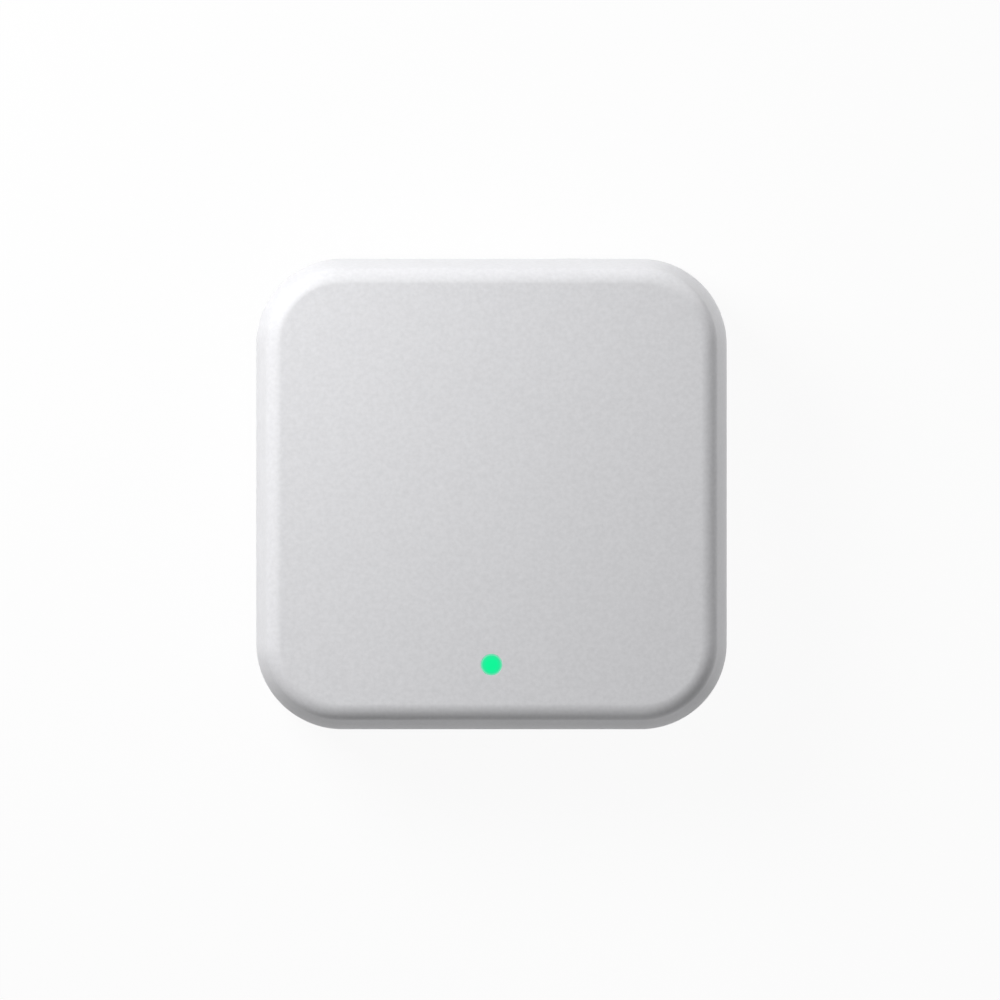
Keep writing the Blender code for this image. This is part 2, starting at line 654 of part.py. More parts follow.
def main_board(finish, parent):
    """The circuit board, with its screw holes, the inlet's leg slots and a notch for the key."""
    half_y = (BOARD_REAR - BOARD_FRONT) / 2
    centre_y = (BOARD_REAR + BOARD_FRONT) / 2
    bm = bmesh.new()
    add_moulding(bm, BOARD_HALF, half_y, BOARD_CORNER, [(0, 0), (0, BOARD_THICKNESS)], at(0, centre_y))
    board = part("main_board", bm, finish, (0, 0, BOARD_Z), parent)

    holes = bmesh.new()
    through = (-BOARD_THICKNESS, 2 * BOARD_THICKNESS)
    hole = BOARD_SHANK / 2 + SCREW_CLEARANCE
    for x, y in BOARD_HOLES:
        add_turned(holes, [(hole, z) for z in through], at(x, y), sides=16)
    straight = [(0, z) for z in through]
    slot_x = LEG_THICKNESS / 2 + SLOT_CLEARANCE
    slot_y = LEG_WIDTH / 2 + SLOT_CLEARANCE
    for x, y in LEGS:
        add_moulding(holes, slot_x, slot_y, slot_x, straight, at(x, y))
    notch_end = REAR_FACE - KEY_FLANGE_BACK - KEY_TRAVEL - SEAM_GAP
    notch_x = KEY_FLANGE + SEAM_GAP
    notch = at(KEY_OFFSET, BOARD_REAR)
    add_moulding(holes, notch_x, BOARD_REAR - notch_end, 2 * SEAM_GAP, straight, notch)
    shape_with(board, "DIFFERENCE", holes)


def chip(name, finish, x, y, size, board, edge=CHIP_EDGE):
    """A moulded or ceramic block soldered to the board."""
    length, width, height = size
    bm = bmesh.new()
    profile = [(0, 0), (0, height - edge), (edge, height)]
    add_moulding(bm, length / 2, width / 2, 2 * edge, profile, steps=1)
    return part(name, bm, finish, (x, y, SOLDER_GAP), board)


def leaded_chip(name, finish, x, y, size, span, pitch, pins, board):
    """A moulded chip on two rows of gull-wing leads."""
    length, width, height = size
    waist = (LEADED_STAND_OFF + height) / 2
    profile = [(LEADED_EDGE, LEADED_STAND_OFF), (0, waist), (LEADED_EDGE, height)]
    bm = bmesh.new()
    add_moulding(bm, length / 2, width / 2, 2 * LEADED_EDGE, profile, steps=1)
    body = part(name, bm, finish, (x, y, SOLDER_GAP), board)

    lead = LEAD_THICKNESS
    inner = width / 2 - 2 * lead
    shoulder = width / 2 + lead
    heel = shoulder + lead
    side = [
        (inner, waist + lead / 2),
        (shoulder, waist + lead / 2),
        (heel, lead),
        (span / 2, lead),
        (span / 2, 0),
        (heel - lead, 0),
        (shoulder - lead, waist - lead / 2),
        (inner, waist - lead / 2),
    ]
    leads = bmesh.new()
    for turn in (0, math.pi):
        for pin in range(pins):
            centre = (pin - (pins - 1) / 2) * pitch
            edges = (centre - LEAD_WIDTH / 2, centre + LEAD_WIDTH / 2)
            loops = [[(u, v, z) for v, z in side] for u in edges]
            add_loft(leads, loops, Matrix.Rotation(turn, 4, "Z"))
    shape_with(body, "UNION", leads)


def bulk_capacitor(finish, x, y, board):
    """An aluminium can with a crimped neck on a square moulded foot."""
    foot_half = BULK_FOOT / 2
    bm = bmesh.new()
    add_moulding(bm, foot_half, foot_half, BULK_FOOT_CORNER, [(0, 0), (0, BULK_FOOT_HEIGHT)], steps=1)
    obj = part("bulk_capacitor", bm, finish, (x, y, SOLDER_GAP), board)
    can = BULK_CAN / 2
    neck = can - BULK_CRIMP_DEPTH
    crimp_top = BULK_CRIMP_Z + BULK_CRIMP_HEIGHT
    profile = [
        (can, BULK_FOOT_HEIGHT / 2),
        (can, BULK_CRIMP_Z),
        (neck, BULK_CRIMP_Z + BULK_CRIMP_DEPTH),
        (neck, crimp_top - BULK_CRIMP_DEPTH),
        (can, crimp_top),
        (can, BULK_HEIGHT - BULK_EDGE),
        (can - BULK_EDGE, BULK_HEIGHT),
    ]
    barrel = bmesh.new()
    add_turned(barrel, profile)
    shape_with(obj, "UNION", barrel)


def radio_module(board_finish, shield_finish, board):
    """The radio module: a small board with its aerial end at the left edge, and a shield can."""
    length, width, thickness = RADIO_MODULE
    x = length / 2 - BOARD_HALF
    chip("radio_module", board_finish, x, RADIO_Y, RADIO_MODULE, board, SMALL_EDGE)
    half_x = (length - MODULE_AERIAL_END - SHIELD_MARGIN) / 2
    half_y = width / 2 - SHIELD_MARGIN
    underside = SHIELD_HEIGHT - SHIELD_SHEET
    profile = [
        (SHIELD_SHEET + SHIELD_BEND, underside),
        (SHIELD_SHEET, underside - SHIELD_BEND),
        (SHIELD_SHEET, 0),
        (0, 0),
        (0, SHIELD_HEIGHT - SHIELD_BEND),
        (SHIELD_BEND, SHIELD_HEIGHT),
    ]
    bm = bmesh.new()
    add_moulding(bm, half_x, half_y, 2 * SHIELD_BEND, profile)
    centre_x = x + (MODULE_AERIAL_END - SHIELD_MARGIN) / 2
    seat = SOLDER_GAP + thickness + SOLDER_GAP
    part("module_shield", bm, shield_finish, (centre_x, RADIO_Y, seat), board)


def status_led(finish, board):
    """The lamp: a moulded cup with a dished window under the light pipe."""
    lamp = chip("status_led", finish, 0, INDICATOR_Y, STATUS_LED, board)
    height = STATUS_LED[2]
    dish = bmesh.new()
    profile = [
        (LED_DISH_FLOOR / 2, height - LED_DISH_DEPTH),
        (LED_DISH / 2, height),
        (LED_DISH / 2, 2 * height),
    ]
    add_turned(dish, profile, sides=16)
    shape_with(lamp, "DIFFERENCE", dish)


def power_parts(finishes, board):
    """The supply beside and behind the inlet."""
    black = finishes["black_plastic"]
    chip("inlet_fuse", finishes["fuse"], FUSE_X, INLET_ROW, INLET_FUSE, board)
    chip("surge_diode", black, DIODE_X, INLET_ROW, SURGE_DIODE, board)
    bulk_capacitor(finishes["aluminium"], BULK_X, BOARD_REAR - BULK_ROW_INSET, board)
    leaded_chip(
        "buck_converter", black, 0, POWER_ROW, BUCK_CONVERTER,
        CONVERTER_SPAN, CONVERTER_PITCH, CONVERTER_PINS_A_SIDE, board,
    )
    chip("power_inductor", finishes["ferrite"], INDUCTOR_X, POWER_ROW, POWER_INDUCTOR, board, INDUCTOR_EDGE)
    chip("output_capacitor", finishes["tantalum"], OUTPUT_X, POWER_ROW, OUTPUT_CAPACITOR, board)


def radio_parts(finishes, board):
    """The two radios with their memory, crystal, antenna and small parts."""
    black = finishes["black_plastic"]
    radio_module(finishes["board"], finishes["steel"], board)
    chip("hub_radio_chip", black, CHIP_COLUMN, RADIO_Y, HUB_RADIO_CHIP, board)
    chip("radio_crystal", finishes["steel"], CHIP_COLUMN, RADIO_Y - CRYSTAL_STEP, RADIO_CRYSTAL, board)
    chip("chip_antenna", finishes["ceramic"], BOARD_HALF - ANTENNA_INSET, RADIO_Y, CHIP_ANTENNA, board)
    leaded_chip(
        "flash_chip", black, CHIP_COLUMN, RADIO_Y + FLASH_STEP, FLASH_CHIP,
        FLASH_SPAN, FLASH_PITCH, FLASH_PINS_A_SIDE, board,
    )
    spots = [(x * BYPASS_STEP_X, y * BYPASS_STEP_Y) for x in (-1, 1) for y in (-1, 1)]
    for number, (x, y) in enumerate(spots, 1):
        name = f"bypass_capacitor_{number}"
        chip(name, finishes["ceramic"], CHIP_COLUMN + x, RADIO_Y + y, BYPASS_CAPACITOR, board, SMALL_EDGE)
    inlet_resistor_y = INLET_MOUTH - USB_LENGTH - INLET_RESISTOR_STEP
    spots = [
        (-INLET_RESISTOR_X, inlet_resistor_y),
        (INLET_RESISTOR_X, inlet_resistor_y),
        (LAMP_RESISTOR_X, INDICATOR_Y),
    ]
    for number, (x, y) in enumerate(spots, 1):
        chip(f"board_resistor_{number}", black, x, y, BOARD_RESISTOR, board, SMALL_EDGE)


def empty(name, parent=None, location=(0, 0, 0)):
    obj = bpy.data.objects.new(name, None)
    bpy.context.scene.collection.objects.link(obj)
    obj.parent = parent
    obj.location = location
    return obj


def build():
    for obj in list(bpy.data.objects):
        bpy.data.objects.remove(obj)
    finishes = {
        "shell": finish_of("white_shell", (0.80, 0.80, 0.81), 0.55),
        "base": finish_of("white_base", (0.76, 0.76, 0.77), 0.6),
        "key": finish_of("white_key", (0.74, 0.74, 0.75), 0.4),
        "pipe": finish_of("green_light_pipe", (0.005, 0.93, 0.33), 0.2, glow=1.0),
        "rubber": finish_of("grey_rubber", (0.28, 0.28, 0.29), 0.8),
        "board": finish_of("solder_mask", (0.01, 0.12, 0.05), 0.35),
        "steel": finish_of("steel", (0.62, 0.62, 0.62), 0.3, metallic=1.0),
        "zinc": finish_of("zinc_screw", (0.5, 0.51, 0.53), 0.35, metallic=1.0),
        "aluminium": finish_of("aluminium_can", (0.75, 0.75, 0.76), 0.35, metallic=1.0),
        "black_plastic": finish_of("black_moulding", (0.02, 0.02, 0.02), 0.5),
        "lamp": finish_of("lamp_moulding", (0.7, 0.75, 0.68), 0.4),
        "ceramic": finish_of("tan_ceramic", (0.45, 0.33, 0.2), 0.5),
        "ferrite": finish_of("grey_ferrite", (0.1, 0.1, 0.11), 0.6),
        "tantalum": finish_of("yellow_moulding", (0.7, 0.45, 0.08), 0.5),
        "fuse": finish_of("fuse_coating", (0.03, 0.1, 0.04), 0.5),
    }
    hub = empty("hub")
    board = empty("board_top", hub, (0, 0, BOARD_TOP))

    top_cover(finishes["shell"], hub)
    bottom_cover(finishes["base"], hub)
    light_pipe(finishes["pipe"], hub)
    main_board(finishes["board"], hub)
    status_led(finishes["lamp"], board)
    radio_parts(finishes, board)
    power_parts(finishes, board)
    usb_inlet(finishes["steel"], finishes["black_plastic"], hub)
    reset_key(finishes["key"], hub)
    reset_switch(finishes["black_plastic"], finishes["steel"], hub)
    for number, (x, y) in enumerate(CORNERS, 1):
        foot(f"foot_{number}", finishes["rubber"], x, y, hub)
        screw(
            f"case_screw_{number}", finishes["zinc"], (x, y, CASE_SEAT - SEAT_GAP),
            CASE_SHANK, CASE_HEAD, CASE_HEAD_HEIGHT, CASE_SCREW_LENGTH, hub,
        )
    for number, (x, y) in enumerate(BOARD_HOLES, 1):
        screw(
            f"board_screw_{number}", finishes["zinc"], (x, y, BOARD_Z - SEAT_GAP),
            BOARD_SHANK, BOARD_HEAD, BOARD_HEAD_HEIGHT, BOARD_SCREW_LENGTH, hub,
        )
    apply_tools()


build()
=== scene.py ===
import math

import bmesh
import bpy
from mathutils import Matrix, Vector


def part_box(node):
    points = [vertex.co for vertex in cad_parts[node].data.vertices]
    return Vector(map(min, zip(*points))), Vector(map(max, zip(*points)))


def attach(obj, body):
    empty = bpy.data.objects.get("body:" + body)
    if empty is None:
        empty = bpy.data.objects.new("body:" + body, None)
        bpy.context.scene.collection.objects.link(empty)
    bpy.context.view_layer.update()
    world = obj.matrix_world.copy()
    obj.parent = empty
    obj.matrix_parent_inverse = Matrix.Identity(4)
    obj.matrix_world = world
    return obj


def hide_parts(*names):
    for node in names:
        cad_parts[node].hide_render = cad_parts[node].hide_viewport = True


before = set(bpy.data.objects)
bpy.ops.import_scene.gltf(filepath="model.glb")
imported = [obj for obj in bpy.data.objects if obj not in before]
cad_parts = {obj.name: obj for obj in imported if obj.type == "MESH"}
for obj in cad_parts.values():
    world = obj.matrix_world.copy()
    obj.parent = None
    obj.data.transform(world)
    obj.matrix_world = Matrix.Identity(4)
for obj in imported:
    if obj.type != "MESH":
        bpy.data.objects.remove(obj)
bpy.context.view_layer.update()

# Top cover: the white shell that the hub is seen by, one moulding in ABS with a fine matt face.
# Its walls are nearly upright below, curve in towards the top and end in a round edge.
# Bosses, ribs and the light guide hang from its ceiling; the rear wall is pierced for inlet and key.

MM = 0.001
TOUCH = 0.001 * MM


def middle(node):
    """The middle of a CAD node's box."""
    low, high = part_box(node)
    return (low + high) / 2


cover_low, cover_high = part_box("top_cover")
INLET = middle("usb_tongue")
HALF = cover_high.x
CORNER = 12.8 * MM
WALL = 2.0 * MM
RIM_ROUND = 0.4 * MM
TOP_ROUND = 2.5 * MM
INNER_ROUND = 1.0 * MM
PORT_WIDTH = 9.54 * MM
PORT_HEIGHT = 3.86 * MM
RELIEF_MARGIN = 1.8 * MM
WALL_DRAFT = math.radians(0.5)
SHOULDER_SLOPE = math.radians(11.5)
BEND_LOW = INLET.z + (PORT_HEIGHT + RELIEF_MARGIN) / 2
BEND_HIGH = cover_high.z - 2 * TOP_ROUND
BEND_STEPS = 16
BEND_CLEAR = 0.25 * MM
BEND = [BEND_LOW + (BEND_HIGH - BEND_LOW) * step / BEND_STEPS for step in range(BEND_STEPS + 1)]
BEND[0] += BEND_CLEAR  # keeps the first row off the rounded edge of the port's relief
TOP_THICKNESS = 2.0 * MM
CEILING_Z = cover_high.z - TOP_THICKNESS
ANCHOR_Z = cover_high.z - TOP_THICKNESS / 2
ROUND_REACH = math.tan(math.pi / 4 - SHOULDER_SLOPE / 2)
CORNER_STEPS = 32
EDGE_STEPS = 16
RIM_STEPS = 5
CEILING_STEPS = 6


def lean(z):
    """How far the outer wall stands in from the widest outline at a height."""
    inset = (z - cover_low.z - RIM_ROUND) * math.tan(WALL_DRAFT)
    turn = math.tan(SHOULDER_SLOPE) - math.tan(WALL_DRAFT)
    if z > BEND_HIGH:
        inset += (z - (BEND_LOW + BEND_HIGH) / 2) * turn
    elif z > BEND_LOW:
        inset += (z - BEND_LOW) ** 2 / (BEND_HIGH - BEND_LOW) / 2 * turn
    return inset


def activate(piece):
    """Makes a piece the active object and the only one selected."""
    bpy.ops.object.select_all(action="DESELECT")
    piece.select_set(True)
    bpy.context.view_layer.objects.active = piece


def name_new(name):
    """Names the primitive that was just added, and puts its place and scale into its mesh."""
    piece = bpy.context.active_object
    piece.name = piece.data.name = name
    bpy.ops.object.transform_apply()
    return piece


def place(piece, location, rotation=(0, 0, 0)):
    """Moves a piece made at the origin to its place, and puts that place into its mesh."""
    activate(piece)
    piece.location = location
    piece.rotation_euler = rotation
    bpy.ops.object.transform_apply()
    return piece


def duplicate(piece, name):
    activate(piece)
    bpy.ops.object.duplicate()
    return name_new(name)


def pick(piece, kind, test):
    """Goes into edit mode with the corners, edges or faces that pass a test selected."""
    activate(piece)
    bpy.ops.object.mode_set(mode="EDIT")
    bpy.ops.mesh.select_mode(type=kind)
    bpy.ops.mesh.select_all(action="DESELECT")
    mesh = bmesh.from_edit_mesh(piece.data)
    for element in {"VERT": mesh.verts, "EDGE": mesh.edges, "FACE": mesh.faces}[kind]:
        element.select_set(bool(test(element)))
    mesh.select_flush_mode()
    bmesh.update_edit_mesh(piece.data)


def leave_edit():
    bpy.ops.object.mode_set(mode="OBJECT")


def everything(element):
    return True


def level(z):
    """A test for edges and faces that lie at one height."""
    return lambda element: all(abs(corner.co.z - z) < TOUCH for corner in element.verts)


def rim_of(direction, near=everything, facing=0.95):
    """A test for edges round a face that looks one way, where it meets faces that don't."""

    def test(edge):
        if len(edge.link_faces) != 2 or not near((edge.verts[0].co + edge.verts[1].co) / 2):
            return False
        looks = [face.normal.dot(Vector(direction)) > facing for face in edge.link_faces]
        return looks[0] != looks[1]

    return test


def round_edges(piece, test, offset, steps):
    pick(piece, "EDGE", test)
    bpy.ops.mesh.bevel(offset=offset, segments=steps)
    leave_edit()


def apply_modifier(piece, kind, **settings):
    activate(piece)
    modifier = piece.modifiers.new(kind.title(), kind)
    for setting, value in settings.items():
        setattr(modifier, setting, value)
    bpy.ops.object.modifier_apply(modifier=modifier.name)


def join(pieces, name):
    activate(pieces[0])
    for piece in pieces:
        piece.select_set(True)
    if len(pieces) > 1:
        bpy.ops.object.join()
    return name_new(name)


def combine(piece, operation, tools):
    """Joins tools to a piece, or cuts them away. The tools don't overlap one another."""
    tool = join(tools, "tool")
    apply_modifier(piece, "BOOLEAN", operation=operation, solver="EXACT", object=tool)
    bpy.data.objects.remove(tool)


def rounded_block(name, half, corner, profile):
    """A rounded square block that rises through a profile of insets and heights."""
    first_inset, low = profile[0]
    bpy.ops.mesh.primitive_plane_add(size=2 * (half - first_inset), location=(0, 0, low))
    block = name_new(name)
    pick(block, "VERT", everything)
    radius = corner - first_inset
    bpy.ops.mesh.bevel(offset=radius, segments=CORNER_STEPS, affect="VERTICES")
    bpy.ops.mesh.select_mode(type="FACE")
    bpy.ops.mesh.select_all(action="SELECT")
    for (inset, z), (next_inset, next_z) in zip(profile, profile[1:]):
        bpy.ops.mesh.inset(thickness=next_inset - inset, depth=next_z - z)
    leave_edit()
    pick(block, "EDGE", lambda edge: edge.is_boundary)
    bpy.ops.mesh.edge_face_add()
    bpy.ops.mesh.select_all(action="SELECT")
    bpy.ops.mesh.normals_make_consistent()
    leave_edit()
    return block


def wall_profile(inset, heights):
    """The profile of a block that stays so far inside the shell's outer wall."""
    return [(inset + lean(z), z) for z in heights]


def box(name, low, high):
    low, high = Vector(low), Vector(high)
    bpy.ops.mesh.primitive_cube_add(size=1, location=(low + high) / 2, scale=high - low)
    return name_new(name)


def rod(name, x, y, radius, low, high, sides=64):
    size = {"radius": radius, "depth": high - low, "vertices": sides}
    bpy.ops.mesh.primitive_cylinder_add(location=(x, y, (low + high) / 2), **size)
    return name_new(name)


def rods_on(seats, name, radius, low, high, sides=64):
    """Rods of one size, one on the axis of each screw."""
    return [rod(name, seat.x, seat.y, radius, low, high, sides) for seat in seats]


def four_of(piece, name):
    """A piece and three copies of it, with numbers in their names."""
    return [piece] + [duplicate(piece, f"{name}_{number}") for number in (2, 3, 4)]


def quarter_turns(piece, start):
    """A piece and three copies of it, a quarter turn apart about the hub's own axis."""
    pieces = four_of(piece, "copy")
    for number, each in enumerate(pieces):
        place(each, (0, 0, 0), (0, 0, start + number * math.pi / 2))
    return pieces


def rear_slot(name, width, height, low, high, steps=20):
    """A bar with round ends that points out of the rear wall on the inlet's axis."""
    bar = box(name, (-width / 2, low, INLET.z - height / 2), (width / 2, high, INLET.z + height / 2))
    pick(bar, "EDGE", lambda edge: abs(edge.verts[0].co.y - edge.verts[1].co.y) > TOUCH)
    bpy.ops.mesh.bevel(offset=height / 2 - TOUCH / 10, segments=steps)
    bpy.ops.mesh.select_all(action="SELECT")
    bpy.ops.mesh.remove_doubles(threshold=TOUCH)
    leave_edit()
    return bar


def finish_shading(piece, angle=32):
    """Shades round faces smooth and keeps flat ones flat up to their edges."""
    pick(piece, "VERT", everything)
    bpy.ops.mesh.remove_doubles(threshold=TOUCH / 2)
    bpy.ops.mesh.dissolve_degenerate(threshold=TOUCH / 2)
    leave_edit()
    bpy.ops.object.shade_smooth_by_angle(angle=math.radians(angle))
    apply_modifier(piece, "WEIGHTED_NORMAL", mode="FACE_AREA", weight=100, keep_sharp=True)


CASE_SCREWS = [middle(f"case_screw_{n}") for n in (1, 2, 3, 4)]
BOARD_SCREWS = [middle(f"board_screw_{n}") for n in (1, 2, 3, 4)]
BOARD_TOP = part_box("main_board")[1].z
PIPE = middle("light_pipe")
KEY = middle("reset_button")
REAR_FACE = HALF - lean(INLET.z)
CASE_BOSS = 3.1 * MM
CASE_BOSS_FOOT = 5.0 * MM
BOARD_BOSS = 2.5 * MM
SEAT_GAP = 0.1 * MM
GUIDE = 3.0 * MM
GUIDE_FOOT = CEILING_Z - 5.0 * MM
PIPE_BORE = 1.6 * MM
RIB_THICKNESS = 1.2 * MM
RIB_FOOT = CEILING_Z - 12.0 * MM
CASE_PILOT = 1.5 * MM
CASE_PILOT_END = 14.3 * MM
BOARD_PILOT = 1.2 * MM
BOARD_PILOT_END = 15.0 * MM
RELIEF_DEPTH = 0.6 * MM
KEY_HOLE = 2.2 * MM
HOLE_ROUND = 0.12 * MM
HOLE_STEPS = 3
BORE_ROUND = 0.05 * MM
BORE_STEPS = 2
PILOT_SIDES = 32

outside = wall_profile(0, [cover_low.z, *BEND, cover_high.z])
cover = rounded_block("top_shell", HALF, CORNER, outside)
round_edges(cover, level(cover_high.z), TOP_ROUND * ROUND_REACH, EDGE_STEPS)
round_edges(cover, level(cover_low.z), RIM_ROUND, RIM_STEPS)
inside = wall_profile(WALL, [cover_low.z - WALL, *BEND, CEILING_Z])
cavity = rounded_block("cavity", HALF, CORNER, inside)
round_edges(cavity, level(CEILING_Z), INNER_ROUND * ROUND_REACH, CEILING_STEPS)
combine(cover, "DIFFERENCE", [cavity])

bosses = rods_on(CASE_SCREWS, "boss", CASE_BOSS, CASE_BOSS_FOOT, ANCHOR_Z)
bosses += rods_on(BOARD_SCREWS, "boss", BOARD_BOSS, BOARD_TOP + SEAT_GAP, ANCHOR_Z)
bosses.append(rod("guide", PIPE.x, PIPE.y, GUIDE, GUIDE_FOOT, ANCHOR_Z))
combine(cover, "UNION", bosses)

boss_reach = CASE_SCREWS[3].xy.length
wall_reach = (HALF - CORNER) * math.sqrt(2) + CORNER - WALL / 2
rib_low = Vector((boss_reach, -RIB_THICKNESS / 2, RIB_FOOT))
rib_high = Vector((wall_reach - lean(ANCHOR_Z), RIB_THICKNESS / 2, ANCHOR_Z))
rib = box("rib", rib_low, rib_high)
pick(rib, "VERT", lambda corner: corner.co.x > rib_high.x - TOUCH and corner.co.z < RIB_FOOT + TOUCH)
bpy.ops.transform.translate(value=(lean(ANCHOR_Z) - lean(RIB_FOOT), 0, 0))
leave_edit()
combine(cover, "UNION", quarter_turns(rib, math.pi / 4))

holes = rods_on(CASE_SCREWS, "pilot", CASE_PILOT, cover_low.z, CASE_PILOT_END, PILOT_SIDES)
holes += rods_on(BOARD_SCREWS, "pilot", BOARD_PILOT, BOARD_TOP - WALL, BOARD_PILOT_END, PILOT_SIDES)
holes.append(rod("bore", PIPE.x, PIPE.y, PIPE_BORE, BOARD_TOP, cover_high.z + WALL))
holes.append(rear_slot("port", PORT_WIDTH, PORT_HEIGHT, HALF - 3 * WALL, HALF + WALL))
key_hole = rod("key_hole", 0, 0, KEY_HOLE, HALF - 3 * WALL, HALF + WALL)
holes.append(place(key_hole, (KEY.x, 0, KEY.z), (-math.pi / 2, 0, 0)))
combine(cover, "DIFFERENCE", holes)
relief_size = (PORT_WIDTH + RELIEF_MARGIN, PORT_HEIGHT + RELIEF_MARGIN)
combine(cover, "DIFFERENCE", [rear_slot("relief", *relief_size, REAR_FACE - RELIEF_DEPTH, HALF + WALL)])


def in_rear_wall(spot):
    return spot.y > REAR_FACE - WALL / 2 and abs(spot.x) < HALF / 2 and abs(spot.z - INLET.z) < 2 * WALL


def at_bore(spot):
    return (spot - PIPE).xy.length < 2 * PIPE_BORE and spot.z > CEILING_Z + TOUCH


round_edges(cover, rim_of((0, 1, 0), in_rear_wall), HOLE_ROUND, HOLE_STEPS)
round_edges(cover, rim_of((0, 0, 1), at_bore), BORE_ROUND, BORE_STEPS)
finish_shading(cover)


def new_finish(name, colour, roughness, metallic=0.0):
    """A material with one Principled shader, and that shader."""
    finish = bpy.data.materials.new(name)
    finish.use_nodes = True
    shader = finish.node_tree.nodes["Principled BSDF"]
    shader.inputs["Base Color"].default_value = (*colour, 1)
    shader.inputs["Roughness"].default_value = roughness
    shader.inputs["Metallic"].default_value = metallic
    return finish, shader


def new_group(name, inputs, outputs):
    """An empty node group with its sockets, and its input and output nodes."""
    group = bpy.data.node_groups.new(name, "ShaderNodeTree")
    for label, default in inputs.items():
        kind = "NodeSocketColor" if isinstance(default, tuple) else "NodeSocketFloat"
        group.interface.new_socket(label, in_out="INPUT", socket_type=kind).default_value = default
    for label in outputs:
        kind = "NodeSocketColor" if label == "Colour" else "NodeSocketFloat"
        group.interface.new_socket(label, in_out="OUTPUT", socket_type=kind)
    return group, group.nodes.new("NodeGroupInput"), group.nodes.new("NodeGroupOutput")


def feed(tree, socket, value):
    """Gives a socket a number or colour, or links another node's socket to it."""
    if isinstance(value, bpy.types.NodeSocket):
        tree.links.new(value, socket)
    else:
        socket.default_value = value


def maths(tree, operation, *values):
    """A Math node's result, from numbers or other nodes' sockets."""
    node = tree.nodes.new("ShaderNodeMath")
    node.operation = operation
    for socket, value in zip(node.inputs, values):
        feed(tree, socket, value)
    return node.outputs[0]


def own_place(tree):
    """The object's own coordinates."""
    return tree.nodes.new("ShaderNodeTexCoord").outputs["Object"]


def noise(tree, spot, scale, detail):
    """Noise around nought, from about -0.5 to 0.5."""
    node = tree.nodes.new("ShaderNodeTexNoise")
    feed(tree, node.inputs["Vector"], spot)
    feed(tree, node.inputs["Scale"], scale)
    feed(tree, node.inputs["Detail"], detail)
    return maths(tree, "SUBTRACT", node.outputs["Fac"], 0.5)


def emboss(tree, shader, height, depth):
    """Raises a surface by a height pattern, so far at most."""
    relief = tree.nodes.new("ShaderNodeBump")
    relief.inputs["Distance"].default_value = depth
    tree.links.new(height, relief.inputs["Height"])
    tree.links.new(relief.outputs["Normal"], shader.inputs["Normal"])


DRIFT_PER_METRE = 130.0
GRAIN_GLOSS = 0.12


def build_moulded_grain():
    """A moulding's skin: a fine spark-eroded grain with painted shade in its hollows, and slow drifts
    of tone.
    """
    inputs = {"Colour": (0.8, 0.8, 0.8, 1), "Roughness": 0.5, "Grain per metre": 3000.0}
    inputs |= {"Painted hollow shade": 0.02, "Drift": 0.02}
    group, given, made = new_group("moulded_grain", inputs, ("Colour", "Roughness", "Height"))
    spot = own_place(group)
    grain = noise(group, spot, given.outputs["Grain per metre"], detail=3.0)
    slow = noise(group, spot, DRIFT_PER_METRE, detail=2.0)
    # Painted shade: the grain's hollows are darkened in the colour; uneven adds it to the slow drift of
    # tone
    painted_shade = maths(group, "MULTIPLY", grain, given.outputs["Painted hollow shade"])
    uneven = maths(group, "ADD", painted_shade, maths(group, "MULTIPLY", slow, given.outputs["Drift"]))
    scaled = group.nodes.new("ShaderNodeVectorMath")
    scaled.operation = "SCALE"
    group.links.new(given.outputs["Colour"], scaled.inputs["Vector"])
    group.links.new(maths(group, "ADD", uneven, 1.0), scaled.inputs["Scale"])
    group.links.new(scaled.outputs["Vector"], made.inputs["Colour"])
    gloss = maths(group, "ADD", maths(group, "MULTIPLY", grain, GRAIN_GLOSS), uneven)
    group.links.new(maths(group, "ADD", gloss, given.outputs["Roughness"]), made.inputs["Roughness"])
    group.links.new(grain, made.inputs["Height"])
    return group


moulded_grain = build_moulded_grain()


def moulded_finish(name, colour, roughness, grain_size, depth, drift=0.02, painted_shade=None):
    """A moulded plastic or rubber with its grain in gloss and relief, and shade painted into the colour
    of the grain's hollows.
    """
    finish, shader = new_finish(name, colour, roughness)
    tree = finish.node_tree
    skin = tree.nodes.new("ShaderNodeGroup")
    skin.node_tree = moulded_grain
    # how much shade is painted into the grain's hollows, as much as the drift unless given
    painted_shade = drift if painted_shade is None else painted_shade
    for socket, value in zip(skin.inputs, ((*colour, 1), roughness, 1 / grain_size, painted_shade, drift)):
        socket.default_value = value
    tree.links.new(skin.outputs["Colour"], shader.inputs["Base Color"])
    tree.links.new(skin.outputs["Roughness"], shader.inputs["Roughness"])
    emboss(tree, shader, skin.outputs["Height"], depth)
    return finish


SHELL_WHITE = (0.80, 0.80, 0.82)
# the shell's grain gets painted shade in its hollows
SHELL_SKIN = {"roughness": 0.55, "grain_size": 0.6 * MM, "depth": 0.014 * MM, "painted_shade": 0.19}
white_shell = moulded_finish("white_shell", SHELL_WHITE, **SHELL_SKIN)
cover.data.materials.append(white_shell)
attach(cover, "housing")
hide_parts("top_cover")

# Light pipe: a clear polycarbonate rod, pressed up its guide from inside until its collar stops it.
# It carries the lamp's green light from the board to its frosted end, flush with the top face, where
# that glow is painted on as emission.

pipe_low, pipe_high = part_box("light_pipe")
PIPE_ROD = 1.5 * MM
PIPE_ENTRY = 2.0 * MM
PIPE_FLARE = 1.2 * MM
PIPE_COLLAR = pipe_high.x
COLLAR_HEIGHT = 1.0 * MM
PIPE_ROUND = 0.1 * MM
PIPE_TINT = (0.0, 0.10, 0.04)
PIPE_ROUGHNESS = 0.4
PIPE_SPECULAR = 0.15
FROST_SIZE = 0.12 * MM
FROST_DEPTH = 0.004 * MM
FROST_GLOSS = 0.2
# colours of the painted glow on the pipe, from its middle out to its paler rim
GLOW_CORE = 0.55
GLOW_EDGE = 0.86
LAMP_GREEN = (0.0, 0.83, 0.28, 1)
EDGE_GLOW = (0.02, 0.72, 0.30, 1)
RIM_GLOW = (0.20, 0.66, 0.44, 1)


